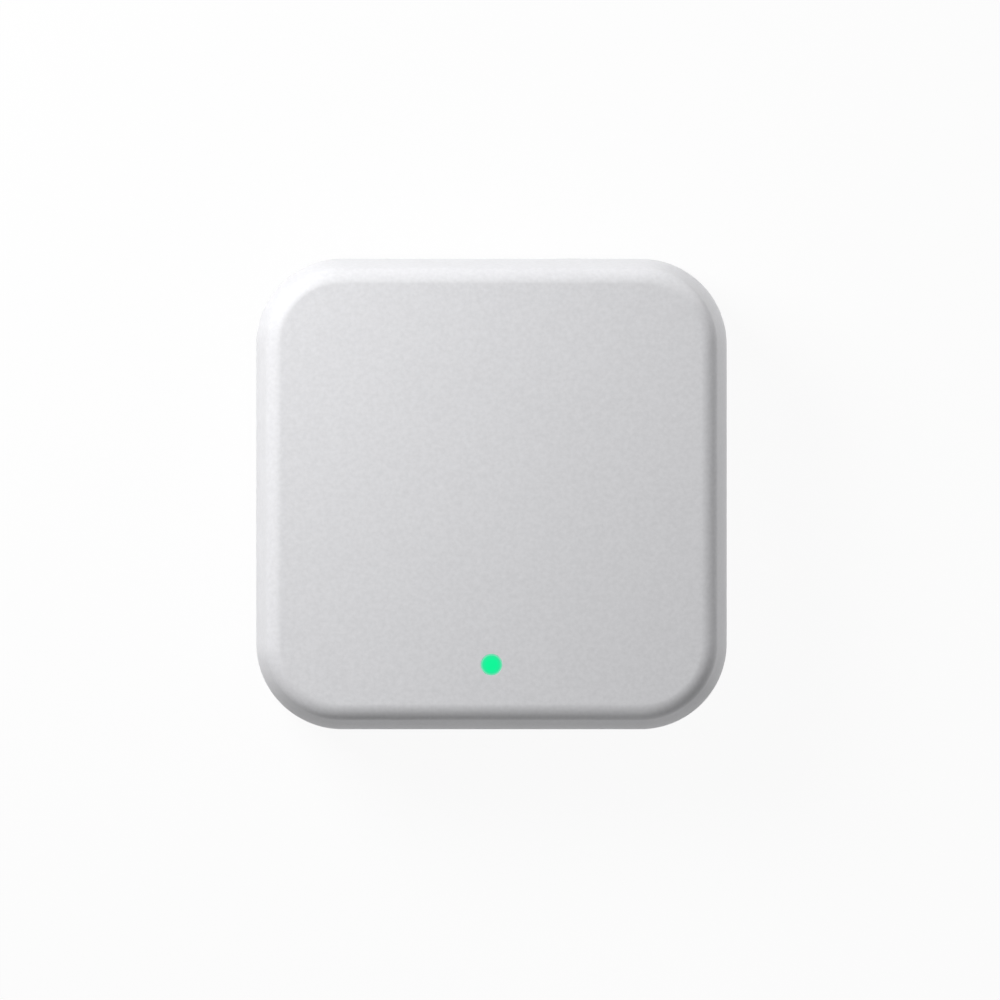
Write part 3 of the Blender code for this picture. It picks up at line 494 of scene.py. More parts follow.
def arc(centre, radius, start, end, steps):
    """Points of radius and height along an arc, whose angles are in degrees from straight out."""
    angles = [math.radians(start + (end - start) * step / steps) for step in range(steps + 1)]
    return [(centre[0] + radius * math.cos(a), centre[1] + radius * math.sin(a)) for a in angles]


def drawn(name, points):
    """Draws a line of points beside the Z axis, edge by edge, from a plane merged to one corner."""
    bpy.ops.mesh.primitive_plane_add(size=MM, location=(points[0][0], 0, points[0][1]))
    piece = name_new(name)
    pick(piece, "VERT", everything)
    bpy.ops.mesh.merge(type="CENTER")
    for (radius, z), (next_radius, next_z) in zip(points, points[1:]):
        step = (next_radius - radius, 0, next_z - z)
        bpy.ops.mesh.extrude_region_move(TRANSFORM_OT_translate={"value": step})
    leave_edit()
    return piece


def turned(name, outline, sides=64):
    """Spins half an outline, drawn from axis to axis, into a solid."""
    piece = drawn(name, outline)
    pick(piece, "EDGE", everything)
    bpy.ops.mesh.spin(steps=sides, angle=2 * math.pi, axis=(0, 0, 1))
    bpy.ops.mesh.select_all(action="SELECT")
    bpy.ops.mesh.remove_doubles(threshold=TOUCH)
    bpy.ops.mesh.normals_make_consistent()
    leave_edit()
    return piece


collar_top = GUIDE_FOOT - SEAT_GAP
collar_low = collar_top - COLLAR_HEIGHT
pipe = turned("indicator_pipe", [
    (0, pipe_low.z),
    (PIPE_ENTRY, pipe_low.z),
    (PIPE_ROD, pipe_low.z + PIPE_FLARE),
    (PIPE_ROD, collar_low),
    *arc((PIPE_COLLAR - PIPE_ROUND, collar_low + PIPE_ROUND), PIPE_ROUND, -90, 0, steps=4),
    *arc((PIPE_COLLAR - PIPE_ROUND, collar_top - PIPE_ROUND), PIPE_ROUND, 0, 90, steps=4),
    (PIPE_ROD, collar_top),
    *arc((PIPE_ROD - PIPE_ROUND, pipe_high.z - PIPE_ROUND), PIPE_ROUND, 0, 90, steps=4),
    (0, pipe_high.z),
])
place(pipe, (PIPE.x, PIPE.y, 0))
finish_shading(pipe)


def off_axis(tree, x, y):
    """How far a point is from an upright axis."""
    centred = tree.nodes.new("ShaderNodeMapping")
    centred.inputs["Scale"].default_value = (1, 1, 0)
    centred.inputs["Location"].default_value = (-x, -y, 0)
    tree.links.new(own_place(tree), centred.inputs["Vector"])
    length = tree.nodes.new("ShaderNodeVectorMath")
    length.operation = "LENGTH"
    tree.links.new(centred.outputs["Vector"], length.inputs[0])
    return length.outputs["Value"]


pipe_finish, pipe_shader = new_finish("green_light_pipe", PIPE_TINT, PIPE_ROUGHNESS)
pipe_shader.inputs["Specular IOR Level"].default_value = PIPE_SPECULAR
# the pipe is given a painted glow of its own, as emission
pipe_shader.inputs["Emission Strength"].default_value = 1.0
tree = pipe_finish.node_tree
# painted glow: green emission, brightest round the pipe's axis and paler towards its rim
glow = tree.nodes.new("ShaderNodeValToRGB")
glow.color_ramp.elements[0].color = LAMP_GREEN
glow.color_ramp.elements[0].position = GLOW_CORE
glow.color_ramp.elements[1].color = RIM_GLOW
glow.color_ramp.elements.new(GLOW_EDGE).color = EDGE_GLOW
tree.links.new(maths(tree, "DIVIDE", off_axis(tree, PIPE.x, PIPE.y), PIPE_ROD), glow.inputs["Fac"])
tree.links.new(glow.outputs["Color"], pipe_shader.inputs["Emission Color"])
frost = noise(tree, own_place(tree), 1 / FROST_SIZE, detail=2.0)
frosted = maths(tree, "ADD", maths(tree, "MULTIPLY", frost, FROST_GLOSS), PIPE_ROUGHNESS)
tree.links.new(frosted, pipe_shader.inputs["Roughness"])
emboss(tree, pipe_shader, frost, FROST_DEPTH)
pipe.data.materials.append(pipe_finish)
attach(pipe, "housing")
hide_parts("light_pipe")

# Reset key: a small moulding in the rear wall, a shade greyer than the shell and satin.
# Its flange is trapped behind the wall, its dished face is flush with it for a fingertip,
# and its tail pushes the switch on the board.

key_low, key_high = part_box("reset_button")
KEY_CAP = 2.0 * MM
KEY_ROUND = 0.3 * MM
KEY_FLANGE = key_high.x - KEY.x
KEY_TAIL = 1.2 * MM
KEY_TAIL_LENGTH = 0.4 * MM
FLANGE_THICKNESS = 0.8 * MM
FLANGE_ROUND = 0.1 * MM
DISH_HALF = 1.5 * MM
DISH_DEPTH = 0.15 * MM
KEY_WHITE = (0.74, 0.74, 0.75)
KEY_SKIN = {"roughness": 0.4, "grain_size": 0.2 * MM, "depth": 0.005 * MM}

key_length = key_high.y - key_low.y
flange_front = KEY_TAIL_LENGTH + FLANGE_THICKNESS
dish = (DISH_HALF ** 2 + DISH_DEPTH ** 2) / (2 * DISH_DEPTH)
dish_edge = math.degrees(math.asin(DISH_HALF / dish))
key = turned("reset_key", [
    (0, 0),
    (KEY_TAIL, 0),
    (KEY_TAIL, KEY_TAIL_LENGTH),
    *arc((KEY_FLANGE - FLANGE_ROUND, KEY_TAIL_LENGTH + FLANGE_ROUND), FLANGE_ROUND, -90, 0, steps=3),
    *arc((KEY_FLANGE - FLANGE_ROUND, flange_front - FLANGE_ROUND), FLANGE_ROUND, 0, 90, steps=3),
    (KEY_CAP, flange_front),
    *arc((KEY_CAP - KEY_ROUND, key_length - KEY_ROUND), KEY_ROUND, 0, 90, steps=6),
    *arc((0, key_length - DISH_DEPTH + dish), dish, dish_edge - 90, -90, steps=8),
])
place(key, (KEY.x, key_low.y, KEY.z), (-math.pi / 2, 0, 0))
finish_shading(key)
key.data.materials.append(moulded_finish("white_key", KEY_WHITE, **KEY_SKIN))
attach(key, "reset_button")
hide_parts("reset_button")

# Main board: a glass fibre circuit board under green solder mask, routed to its outline.
# It hangs from four bosses of the shell, with its parts soldered to the face below the ceiling.

MASK_GREEN = (0.008, 0.105, 0.045)
TRACK_GREEN = (0.022, 0.19, 0.08)
MASK_ROUGHNESS = 0.32
GLASS_FIBRE = (0.42, 0.38, 0.20)
FIBRE_ROUGHNESS = 0.75
TIN = (0.72, 0.72, 0.70)
TIN_ROUGHNESS = 0.35
TRACK_PITCH = 0.5 * MM
TRACK_SHARE = 0.22
TRACK_FIELD = 4.5 * MM
LENGTHWISE_FIELDS = 0.4
COPPER_FIELDS = 0.75
VIA_SPACING = 3.2 * MM
VIA_RING = (0.21 * MM, 0.09 * MM)
COPPER_THICKNESS = 0.035 * MM
SCREW_RING = 2.1 * MM
CUT_FACING = 0.5
# a Mix node's two inputs and its result, for each kind
MIX_SOCKETS = {"FLOAT": (2, 3, 0), "RGBA": (6, 7, 2)}


def along(tree, place_socket, axis):
    """One coordinate of a place or direction."""
    split = tree.nodes.new("ShaderNodeSeparateXYZ")
    tree.links.new(place_socket, split.inputs[0])
    return split.outputs[axis]


def own_axis(tree, axis):
    """One of the object's own coordinates."""
    return along(tree, own_place(tree), axis)


def mixed(tree, kind, mask, first, second):
    """Blends two values, or two colours, by a mask."""
    node = tree.nodes.new("ShaderNodeMix")
    node.data_type = kind
    low, high, result = MIX_SOCKETS[kind]
    feed(tree, node.inputs[0], mask)
    feed(tree, node.inputs[low], first)
    feed(tree, node.inputs[high], second)
    return node.outputs[result]


def cells(tree, spot, spacing, distance):
    """A flat pattern of cells so far apart."""
    node = tree.nodes.new("ShaderNodeTexVoronoi")
    node.voronoi_dimensions = "2D"
    node.distance = distance
    node.inputs["Scale"].default_value = 1 / spacing
    tree.links.new(spot, node.inputs["Vector"])
    return node


def stripes(tree, coordinate, pitch, share):
    """A mask of stripes across a coordinate, each with so large a share of the pitch on both sides."""
    phase = maths(tree, "FRACT", maths(tree, "DIVIDE", coordinate, pitch))
    return maths(tree, "COMPARE", phase, 0.5, share)


def build_board_copper():
    """Tracks, copper areas and plated holes of a circuit board, as its solder mask shows them."""
    inputs = {"Mask": (*MASK_GREEN, 1), "Track": (*TRACK_GREEN, 1)}
    group, given, made = new_group("board_copper", inputs, ("Colour", "Tin", "Height"))
    spot = own_place(group)
    choice = along(group, cells(group, spot, TRACK_FIELD, "CHEBYCHEV").outputs["Color"], "X")
    across = stripes(group, along(group, spot, "Y"), TRACK_PITCH, TRACK_SHARE)
    lengthwise = stripes(group, along(group, spot, "X"), TRACK_PITCH, TRACK_SHARE)
    turned_field = maths(group, "GREATER_THAN", choice, LENGTHWISE_FIELDS)
    tracks = mixed(group, "FLOAT", turned_field, across, lengthwise)
    copper = maths(group, "MAXIMUM", tracks, maths(group, "GREATER_THAN", choice, COPPER_FIELDS))
    cell_share = cells(group, spot, VIA_SPACING, "EUCLIDEAN").outputs["Distance"]
    ring = maths(group, "COMPARE", maths(group, "MULTIPLY", cell_share, VIA_SPACING), *VIA_RING)
    colour = mixed(group, "RGBA", copper, given.outputs["Mask"], given.outputs["Track"])
    group.links.new(colour, made.inputs["Colour"])
    group.links.new(ring, made.inputs["Tin"])
    group.links.new(maths(group, "MAXIMUM", copper, ring), made.inputs["Height"])
    return group


board_copper = build_board_copper()


def lay_over(finish, mask, colour, roughness, metallic=0.0):
    """Lays another colour, gloss and metal over a finish where a mask is 1."""
    tree = finish.node_tree
    shader = tree.nodes["Principled BSDF"]
    laid = {"Base Color": (*colour, 1), "Roughness": roughness, "Metallic": metallic}
    for label, value in laid.items():
        socket = shader.inputs[label]
        kind = "RGBA" if label == "Base Color" else "FLOAT"
        under = socket.default_value if kind == "FLOAT" else tuple(socket.default_value)
        if socket.is_linked:
            under = socket.links[0].from_socket
        tree.links.new(mixed(tree, kind, mask, under, value), socket)


def tin_over(finish, mask):
    """Lays solder over a finish where a mask is 1."""
    lay_over(finish, mask, TIN, TIN_ROUGHNESS, metallic=1.0)


def board_finish(name):
    """Solder mask over copper, with bare glass fibre where the board was cut."""
    finish, shader = new_finish(name, MASK_GREEN, MASK_ROUGHNESS)
    tree = finish.node_tree
    copper = tree.nodes.new("ShaderNodeGroup")
    copper.node_tree = board_copper
    tree.links.new(copper.outputs["Colour"], shader.inputs["Base Color"])
    emboss(tree, shader, copper.outputs["Height"], COPPER_THICKNESS)
    tin_over(finish, copper.outputs["Tin"])
    facing = along(tree, tree.nodes.new("ShaderNodeTexCoord").outputs["Normal"], "Z")
    cut = maths(tree, "LESS_THAN", maths(tree, "ABSOLUTE", facing), CUT_FACING)
    lay_over(finish, cut, GLASS_FIBRE, FIBRE_ROUGHNESS)
    return finish


def dress(node, finish):
    """Gives its finish to a CAD node that stays as it is."""
    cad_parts[node].material_slots[0].material = finish


def discs(tree, spots, radius):
    """A mask of discs round upright axes, all of one size."""
    nearest = off_axis(tree, *spots[0])
    for spot in spots[1:]:
        nearest = maths(tree, "MINIMUM", nearest, off_axis(tree, *spot))
    return maths(tree, "LESS_THAN", nearest, radius)


main_board = board_finish("main_board")
tin_over(main_board, discs(main_board.node_tree, [seat.xy for seat in BOARD_SCREWS], SCREW_RING))
dress("main_board", main_board)

# Status lamp: a surface-mounted LED right under the light pipe, a pale moulding on two tinned ends.
# A reflector dish in its top holds the green die under clear resin.

lamp_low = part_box("status_led")[0]
LAMP = middle("status_led")
LAMP_DISH = 1.15 * MM
LAMP_PALE = (0.70, 0.75, 0.68)
LAMP_SKIN = {"roughness": 0.45, "grain_size": 0.1 * MM, "depth": 0.002 * MM}
LAMP_END = 0.5 * MM
LAMP_END_HEIGHT = 0.9 * MM


def ends(tree, node, axis, length):
    """A mask of both ends of a node along an axis, each so long."""
    low, high = (corner["XYZ".index(axis)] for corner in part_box(node))
    offset = maths(tree, "SUBTRACT", own_axis(tree, axis), (low + high) / 2)
    return maths(tree, "GREATER_THAN", maths(tree, "ABSOLUTE", offset), (high - low) / 2 - length)


def below(tree, z):
    """A mask of what lies below a height."""
    return maths(tree, "LESS_THAN", own_axis(tree, "Z"), z)


lamp_finish = moulded_finish("lamp_moulding", LAMP_PALE, **LAMP_SKIN)
tree = lamp_finish.node_tree
lamp_shader = tree.nodes["Principled BSDF"]
lamp_ends = ends(tree, "status_led", "X", LAMP_END)
lamp_foot = below(tree, lamp_low.z + LAMP_END_HEIGHT)
tin_over(lamp_finish, maths(tree, "MULTIPLY", lamp_ends, lamp_foot))
lamp_dish = discs(tree, [LAMP.xy], LAMP_DISH)
lay_over(lamp_finish, lamp_dish, LAMP_GREEN[:3], roughness=0.1)
lamp_glow = mixed(tree, "RGBA", lamp_dish, (0, 0, 0, 1), LAMP_GREEN)
tree.links.new(lamp_glow, lamp_shader.inputs["Emission Color"])
lamp_shader.inputs["Emission Strength"].default_value = 1.0
dress("status_led", lamp_finish)

# Power inlet: a slim reversible socket soldered to the board by four legs of its drawn steel shell.
# The shell's rounded lip stands just behind the port in the rear wall, round a black moulded tongue
# that carries two rows of gold-plated contacts.

shell_low, shell_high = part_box("usb_shell")
MOUTH = shell_high.y
SHELL_HEIGHT = 3.26 * MM
SHELL_WALL = 0.3 * MM
SHELL_LIP = 0.1 * MM
LEG_THICKNESS = 0.25 * MM
LEG_WIDTH = 1.1 * MM
LEG_SETBACKS = (3.2 * MM, 6.4 * MM)
STEEL = (0.62, 0.62, 0.62)
LINES_PER_METRE = 4000.0
LINE_GLOSS = 0.2
DRAWN_BACK = (1, 0.1, 1)

inlet_shell = rear_slot("inlet_shell", 2 * shell_high.x, SHELL_HEIGHT, shell_low.y, MOUTH)
bore_size = (2 * shell_high.x - 2 * SHELL_WALL, SHELL_HEIGHT - 2 * SHELL_WALL)
combine(inlet_shell, "DIFFERENCE", [rear_slot("bore", *bore_size, shell_low.y - WALL, MOUTH + WALL)])
round_edges(inlet_shell, rim_of((0, 1, 0)), SHELL_LIP, steps=3)
legs = []
for setback in LEG_SETBACKS:
    for side in (-1, 1):
        x = side * (shell_high.x - SHELL_WALL / 2)
        y = MOUTH - setback
        low = (x - LEG_THICKNESS / 2, y - LEG_WIDTH / 2, shell_low.z)
        high = (x + LEG_THICKNESS / 2, y + LEG_WIDTH / 2, INLET.z)
        legs.append(box("leg", low, high))
combine(inlet_shell, "UNION", legs)
finish_shading(inlet_shell)


def metal_finish(name, colour, roughness, brush=(1, 1, 1), depth=0.003 * MM):
    """A plated or drawn metal with fine drawing lines and a little unevenness in its gloss."""
    finish, shader = new_finish(name, colour, roughness, metallic=1.0)
    tree = finish.node_tree
    stretch = tree.nodes.new("ShaderNodeMapping")
    stretch.inputs["Scale"].default_value = brush
    tree.links.new(own_place(tree), stretch.inputs["Vector"])
    lines = noise(tree, stretch.outputs["Vector"], LINES_PER_METRE, detail=3.0)
    uneven = maths(tree, "MULTIPLY", lines, LINE_GLOSS)
    tree.links.new(maths(tree, "ADD", uneven, roughness), shader.inputs["Roughness"])
    emboss(tree, shader, lines, depth)
    return finish


steel_finish = metal_finish("steel", STEEL, roughness=0.28, brush=DRAWN_BACK)
inlet_shell.data.materials.append(steel_finish)
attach(inlet_shell, "housing")
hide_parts("usb_shell")

tongue_low, tongue_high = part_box("usb_tongue")
BLOCK_LENGTH = 1.9 * MM
TONGUE_HALF = 3.345 * MM
TONGUE_THICKNESS = 0.7 * MM
TONGUE_NOSE = 0.17 * MM
CONTACTS = 12
CONTACT_PITCH = 0.5 * MM
CONTACT_WIDTH = 0.25 * MM
CONTACT_LENGTH = 3.6 * MM
CONTACT_PROUD = 0.02 * MM
BLACK = (0.02, 0.02, 0.02)
BLACK_SKIN = {"roughness": 0.5, "grain_size": 0.15 * MM, "depth": 0.004 * MM}
GOLD = (0.83, 0.58, 0.22)

block_height = tongue_high.z - tongue_low.z
block_front = tongue_low.y + BLOCK_LENGTH
tongue = rear_slot("inlet_tongue", 2 * tongue_high.x, block_height, tongue_low.y, block_front)
blade_low = (-TONGUE_HALF, block_front - BLOCK_LENGTH / 2, INLET.z - TONGUE_THICKNESS / 2)
blade_high = (TONGUE_HALF, tongue_high.y, INLET.z + TONGUE_THICKNESS / 2)
blade = box("blade", blade_low, blade_high)
round_edges(blade, rim_of((0, 1, 0)), TONGUE_NOSE, steps=4)
combine(tongue, "UNION", [blade])
finish_shading(tongue)
tongue.data.materials.append(moulded_finish("black_moulding", BLACK, **BLACK_SKIN))
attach(tongue, "housing")
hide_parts("usb_tongue")

front = tongue_high.y - 2 * TONGUE_NOSE
strip_low = (-CONTACT_WIDTH / 2, front - CONTACT_LENGTH, -CONTACT_PROUD)
strip_high = (CONTACT_WIDTH / 2, front, CONTACT_PROUD)
strip = box("contact", strip_low, strip_high)
apply_modifier(strip, "BEVEL", width=CONTACT_PROUD / 2, segments=2)
strips = []
for face in (blade_low[2], blade_high[2]):
    for number in range(CONTACTS):
        x = (number - (CONTACTS - 1) / 2) * CONTACT_PITCH
        strips.append(place(duplicate(strip, "contact"), (x, 0, face)))
bpy.data.objects.remove(strip)
contacts = join(strips, "inlet_contacts")
finish_shading(contacts)
gold_finish = metal_finish("contact_gold", GOLD, roughness=0.25, brush=DRAWN_BACK)
contacts.data.materials.append(gold_finish)
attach(contacts, "housing")

# Reset switch: a side-push switch soldered behind the key, a black moulding under a steel plate.
# Four staked pins hold the plate, and a turned steel stem carries the key's push inside.

switch_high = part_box("reset_switch")[1]
SWITCH = middle("reset_switch")
SWITCH_PLATE = 0.3 * MM
SWITCH_PINS = (2.4 * MM, 1.2 * MM)
SWITCH_PIN = 0.35 * MM
TURNED_RINGS = (1, 8, 1)


def above(tree, z):
    """A mask of what lies above a height."""
    return maths(tree, "GREATER_THAN", own_axis(tree, "Z"), z)


switch_finish = moulded_finish("reset_switch", BLACK, **BLACK_SKIN)
tree = switch_finish.node_tree
plate = above(tree, switch_high.z - SWITCH_PLATE)
lay_over(switch_finish, plate, STEEL, roughness=0.3, metallic=1.0)
corners = [(side, end) for side in (-1, 1) for end in (-1, 1)]
pins = [(SWITCH.x + side * SWITCH_PINS[0], SWITCH.y + end * SWITCH_PINS[1]) for side, end in corners]
lay_over(switch_finish, discs(tree, pins, SWITCH_PIN), BLACK, roughness=0.4)
dress("reset_switch", switch_finish)
dress("reset_stem", metal_finish("reset_stem", STEEL, roughness=0.25, brush=TURNED_RINGS))

# Radio module: a small board of its own, soldered flat to the main one by the pads along two sides.
# Its printed aerial is left free at one end, and a folded steel can shields the rest.

module_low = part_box("radio_module")[0]
MODULE_PAD = 0.9 * MM
MODULE_PAD_PITCH = 1.27 * MM
MODULE_PAD_SHARE = 0.3
AERIAL_END = 5.2 * MM
AERIAL_MARGIN = 0.7 * MM
AERIAL_PITCH = 2.4 * MM
AERIAL_LINE = 0.5 * MM
AERIAL_TURNS = (0.25, 0.75)
AERIAL_TURN_SHARE = 0.25
ROLLED_SIDEWAYS = (0.06, 1, 1)

module_finish = board_finish("radio_module")
tree = module_finish.node_tree
x_place = maths(tree, "SUBTRACT", own_axis(tree, "X"), module_low.x)
y_place = maths(tree, "SUBTRACT", own_axis(tree, "Y"), module_low.y)
at_aerial = maths(tree, "LESS_THAN", x_place, AERIAL_END)
lay_over(module_finish, at_aerial, MASK_GREEN, MASK_ROUGHNESS)
pads = stripes(tree, x_place, MODULE_PAD_PITCH, MODULE_PAD_SHARE)
pads = maths(tree, "MULTIPLY", pads, ends(tree, "radio_module", "Y", MODULE_PAD))
tin_over(module_finish, maths(tree, "MULTIPLY", pads, maths(tree, "SUBTRACT", 1.0, at_aerial)))
aerial_reach = AERIAL_END - 2 * AERIAL_MARGIN
aerial = stripes(tree, y_place, AERIAL_PITCH / 2, AERIAL_LINE / AERIAL_PITCH)
for x, shift in zip((AERIAL_MARGIN, AERIAL_MARGIN + aerial_reach), AERIAL_TURNS):
    shifted = maths(tree, "ADD", y_place, shift * AERIAL_PITCH)
    turn = stripes(tree, shifted, AERIAL_PITCH, AERIAL_TURN_SHARE)
    bar = maths(tree, "COMPARE", x_place, x, AERIAL_LINE / 2)
    aerial = maths(tree, "MAXIMUM", aerial, maths(tree, "MULTIPLY", turn, bar))
window = maths(tree, "COMPARE", x_place, AERIAL_END / 2, (aerial_reach + AERIAL_LINE) / 2)
lay_over(module_finish, maths(tree, "MULTIPLY", aerial, window), TRACK_GREEN, MASK_ROUGHNESS)
dress("radio_module", module_finish)
dress("module_shield", metal_finish("module_shield", STEEL, roughness=0.34, brush=ROLLED_SIDEWAYS))

# Second radio: a flat no-lead chip in black epoxy, with its crystal and a ceramic aerial beside it.
# The memory chip next to it stands on gull-wing leads. All are reflow soldered to the board.

EPOXY = (0.018, 0.018, 0.02)
DOT_GREY = (0.10, 0.10, 0.10)
DOT = 0.3 * MM
DOT_INSET = 0.75 * MM
CHIP_PAD_PITCH = 0.5 * MM
CHIP_PAD_SHARE = 0.25
CHIP_PAD_HEIGHT = 0.2 * MM
FLASH_LEAD = 1.05 * MM
CRYSTAL_BASE = 0.35 * MM
ANTENNA_END = 0.4 * MM
TAN_CERAMIC = (0.45, 0.33, 0.20)
FINE_SKIN = {"grain_size": 0.12 * MM, "depth": 0.004 * MM}


def epoxy_finish(node, lead=0.0):
    """Moulded black epoxy with a dot by its first pin, and tinned leads so long on both sides."""
    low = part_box(node)[0]
    finish = moulded_finish(node, EPOXY, roughness=0.55, **FINE_SKIN)
    tree = finish.node_tree
    dot = discs(tree, [(low.x + DOT_INSET, low.y + lead + DOT_INSET)], DOT)
    lay_over(finish, dot, DOT_GREY, roughness=0.4)
    if lead:
        tin_over(finish, ends(tree, node, "Y", lead))
    return finish


radio_finish = epoxy_finish("hub_radio_chip")
tree = radio_finish.node_tree
rows = [stripes(tree, own_axis(tree, axis), CHIP_PAD_PITCH, CHIP_PAD_SHARE) for axis in "XY"]
low_edge = below(tree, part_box("hub_radio_chip")[0].z + CHIP_PAD_HEIGHT)
tin_over(radio_finish, maths(tree, "MULTIPLY", maths(tree, "MAXIMUM", *rows), low_edge))
dress("hub_radio_chip", radio_finish)
dress("flash_chip", epoxy_finish("flash_chip", FLASH_LEAD))

crystal_finish = metal_finish("radio_crystal", STEEL, roughness=0.3, brush=DRAWN_BACK)
crystal_base = below(crystal_finish.node_tree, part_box("radio_crystal")[0].z + CRYSTAL_BASE)
lay_over(crystal_finish, crystal_base, TAN_CERAMIC, roughness=0.6)
dress("radio_crystal", crystal_finish)


def ended_finish(node, colour, axis, end, roughness=0.5, drift=0.05):
    """A fired or coated body between two tinned ends."""
    finish = moulded_finish(node, colour, roughness, drift=drift, **FINE_SKIN)
    tin_over(finish, ends(finish.node_tree, node, axis, end))
    return finish


dress("chip_antenna", ended_finish("chip_antenna", TAN_CERAMIC, "Y", ANTENNA_END))

# Power parts: they make the board's supply from the inlet's, in this order along the current.
# Fuse and surge diode by the inlet, bulk capacitor, converter, inductor and output capacitor.

FUSE_GREEN = (0.03, 0.10, 0.04)
FERRITE = (0.10, 0.10, 0.11)
TANTALUM = (0.70, 0.45, 0.08)
TANTALUM_BAND = (0.22, 0.09, 0.02)
ALUMINIUM = (0.75, 0.75, 0.76)
INK = (0.03, 0.03, 0.05)
POWER_END = 0.6 * MM
DIODE_BAND = (1.1 * MM, 0.3 * MM)
BULK_FOOT = 1.2 * MM
BULK_TOP = 0.3 * MM
BULK_SEGMENT = 1.6 * MM
DRAWN_UPWARDS = (1, 1, 0.2)
OUTPUT_BAND = 1.0 * MM
CONVERTER_LEAD = 0.6 * MM

dress("inlet_fuse", ended_finish("inlet_fuse", FUSE_GREEN, "Y", POWER_END, roughness=0.4))

diode_finish = ended_finish("surge_diode", EPOXY, "Y", POWER_END / 2)
tree = diode_finish.node_tree
from_end = maths(tree, "SUBTRACT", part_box("surge_diode")[1].y, own_axis(tree, "Y"))
diode_band = maths(tree, "COMPARE", from_end, *DIODE_BAND)
lay_over(diode_finish, diode_band, LAMP_PALE, roughness=0.5)
dress("surge_diode", diode_finish)

bulk_low, bulk_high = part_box("bulk_capacitor")
bulk_finish = metal_finish("bulk_capacitor", ALUMINIUM, roughness=0.28, brush=DRAWN_UPWARDS)
tree = bulk_finish.node_tree
lay_over(bulk_finish, below(tree, bulk_low.z + BULK_FOOT), BLACK, roughness=0.5)
segment_edge = middle("bulk_capacitor").x - BULK_SEGMENT
segment = maths(tree, "LESS_THAN", own_axis(tree, "X"), segment_edge)
on_top = above(tree, bulk_high.z - BULK_TOP)
lay_over(bulk_finish, maths(tree, "MULTIPLY", segment, on_top), INK, roughness=0.5)
dress("bulk_capacitor", bulk_finish)

dress("buck_converter", epoxy_finish("buck_converter", CONVERTER_LEAD))
inductor_finish = ended_finish("power_inductor", FERRITE, "X", POWER_END, roughness=0.65, drift=0.3)
dress("power_inductor", inductor_finish)

output_finish = ended_finish("output_capacitor", TANTALUM, "X", POWER_END / 2, roughness=0.45)
tree = output_finish.node_tree
from_start = maths(tree, "SUBTRACT", own_axis(tree, "X"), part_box("output_capacitor")[0].x)
output_band = maths(tree, "COMPARE", from_start, OUTPUT_BAND, OUTPUT_BAND / 2)
lay_over(output_finish, output_band, TANTALUM_BAND, roughness=0.45)
dress("output_capacitor", output_finish)

# Small parts: four ceramic bypass capacitors by the second radio, and three resistors, whose black
# film lies on a white ceramic chip, by the inlet and the lamp.

WHITE_CERAMIC = (0.72, 0.71, 0.67)
SMALL_END = 0.32 * MM
FILM = 0.06 * MM

for number in (1, 2, 3, 4):
    node = f"bypass_capacitor_{number}"
    dress(node, ended_finish(node, TAN_CERAMIC, "Y", SMALL_END))
for number in (1, 2, 3):
    node = f"board_resistor_{number}"
    finish = moulded_finish(node, WHITE_CERAMIC, roughness=0.6, **FINE_SKIN)
    tree = finish.node_tree
    lay_over(finish, above(tree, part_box(node)[1].z - FILM), BLACK, roughness=0.35)
    tin_over(finish, ends(tree, node, "X", SMALL_END))
    dress(node, finish)

# Board screws: four pan-head self-tapping screws in zinc-plated steel, driven up through the board
# into the bosses that carry it. Their threads are rolled, and a cross recess is struck in each head.

THREAD_PITCH = 0.8 * MM
THREAD_DEPTH = 0.22 * MM
THREAD_STEPS = 32
ROOT_END = 0.4
CREST_START = 0.65
CREST_END = 0.75
TIP_LENGTH = 1.2 * MM
RECESS_REACH = 0.55
RECESS_WIDTH = 0.24
RECESS_DEPTH = 0.6
RECESS_TAPER = (0.5, 0.6, 1)
HEAD_ROUND = 0.6
SCREW_SIDES = 48
ZINC = (0.50, 0.51, 0.53)
BOARD_SHANK = 1.0 * MM
BOARD_HEAD_HEIGHT = 1.5 * MM


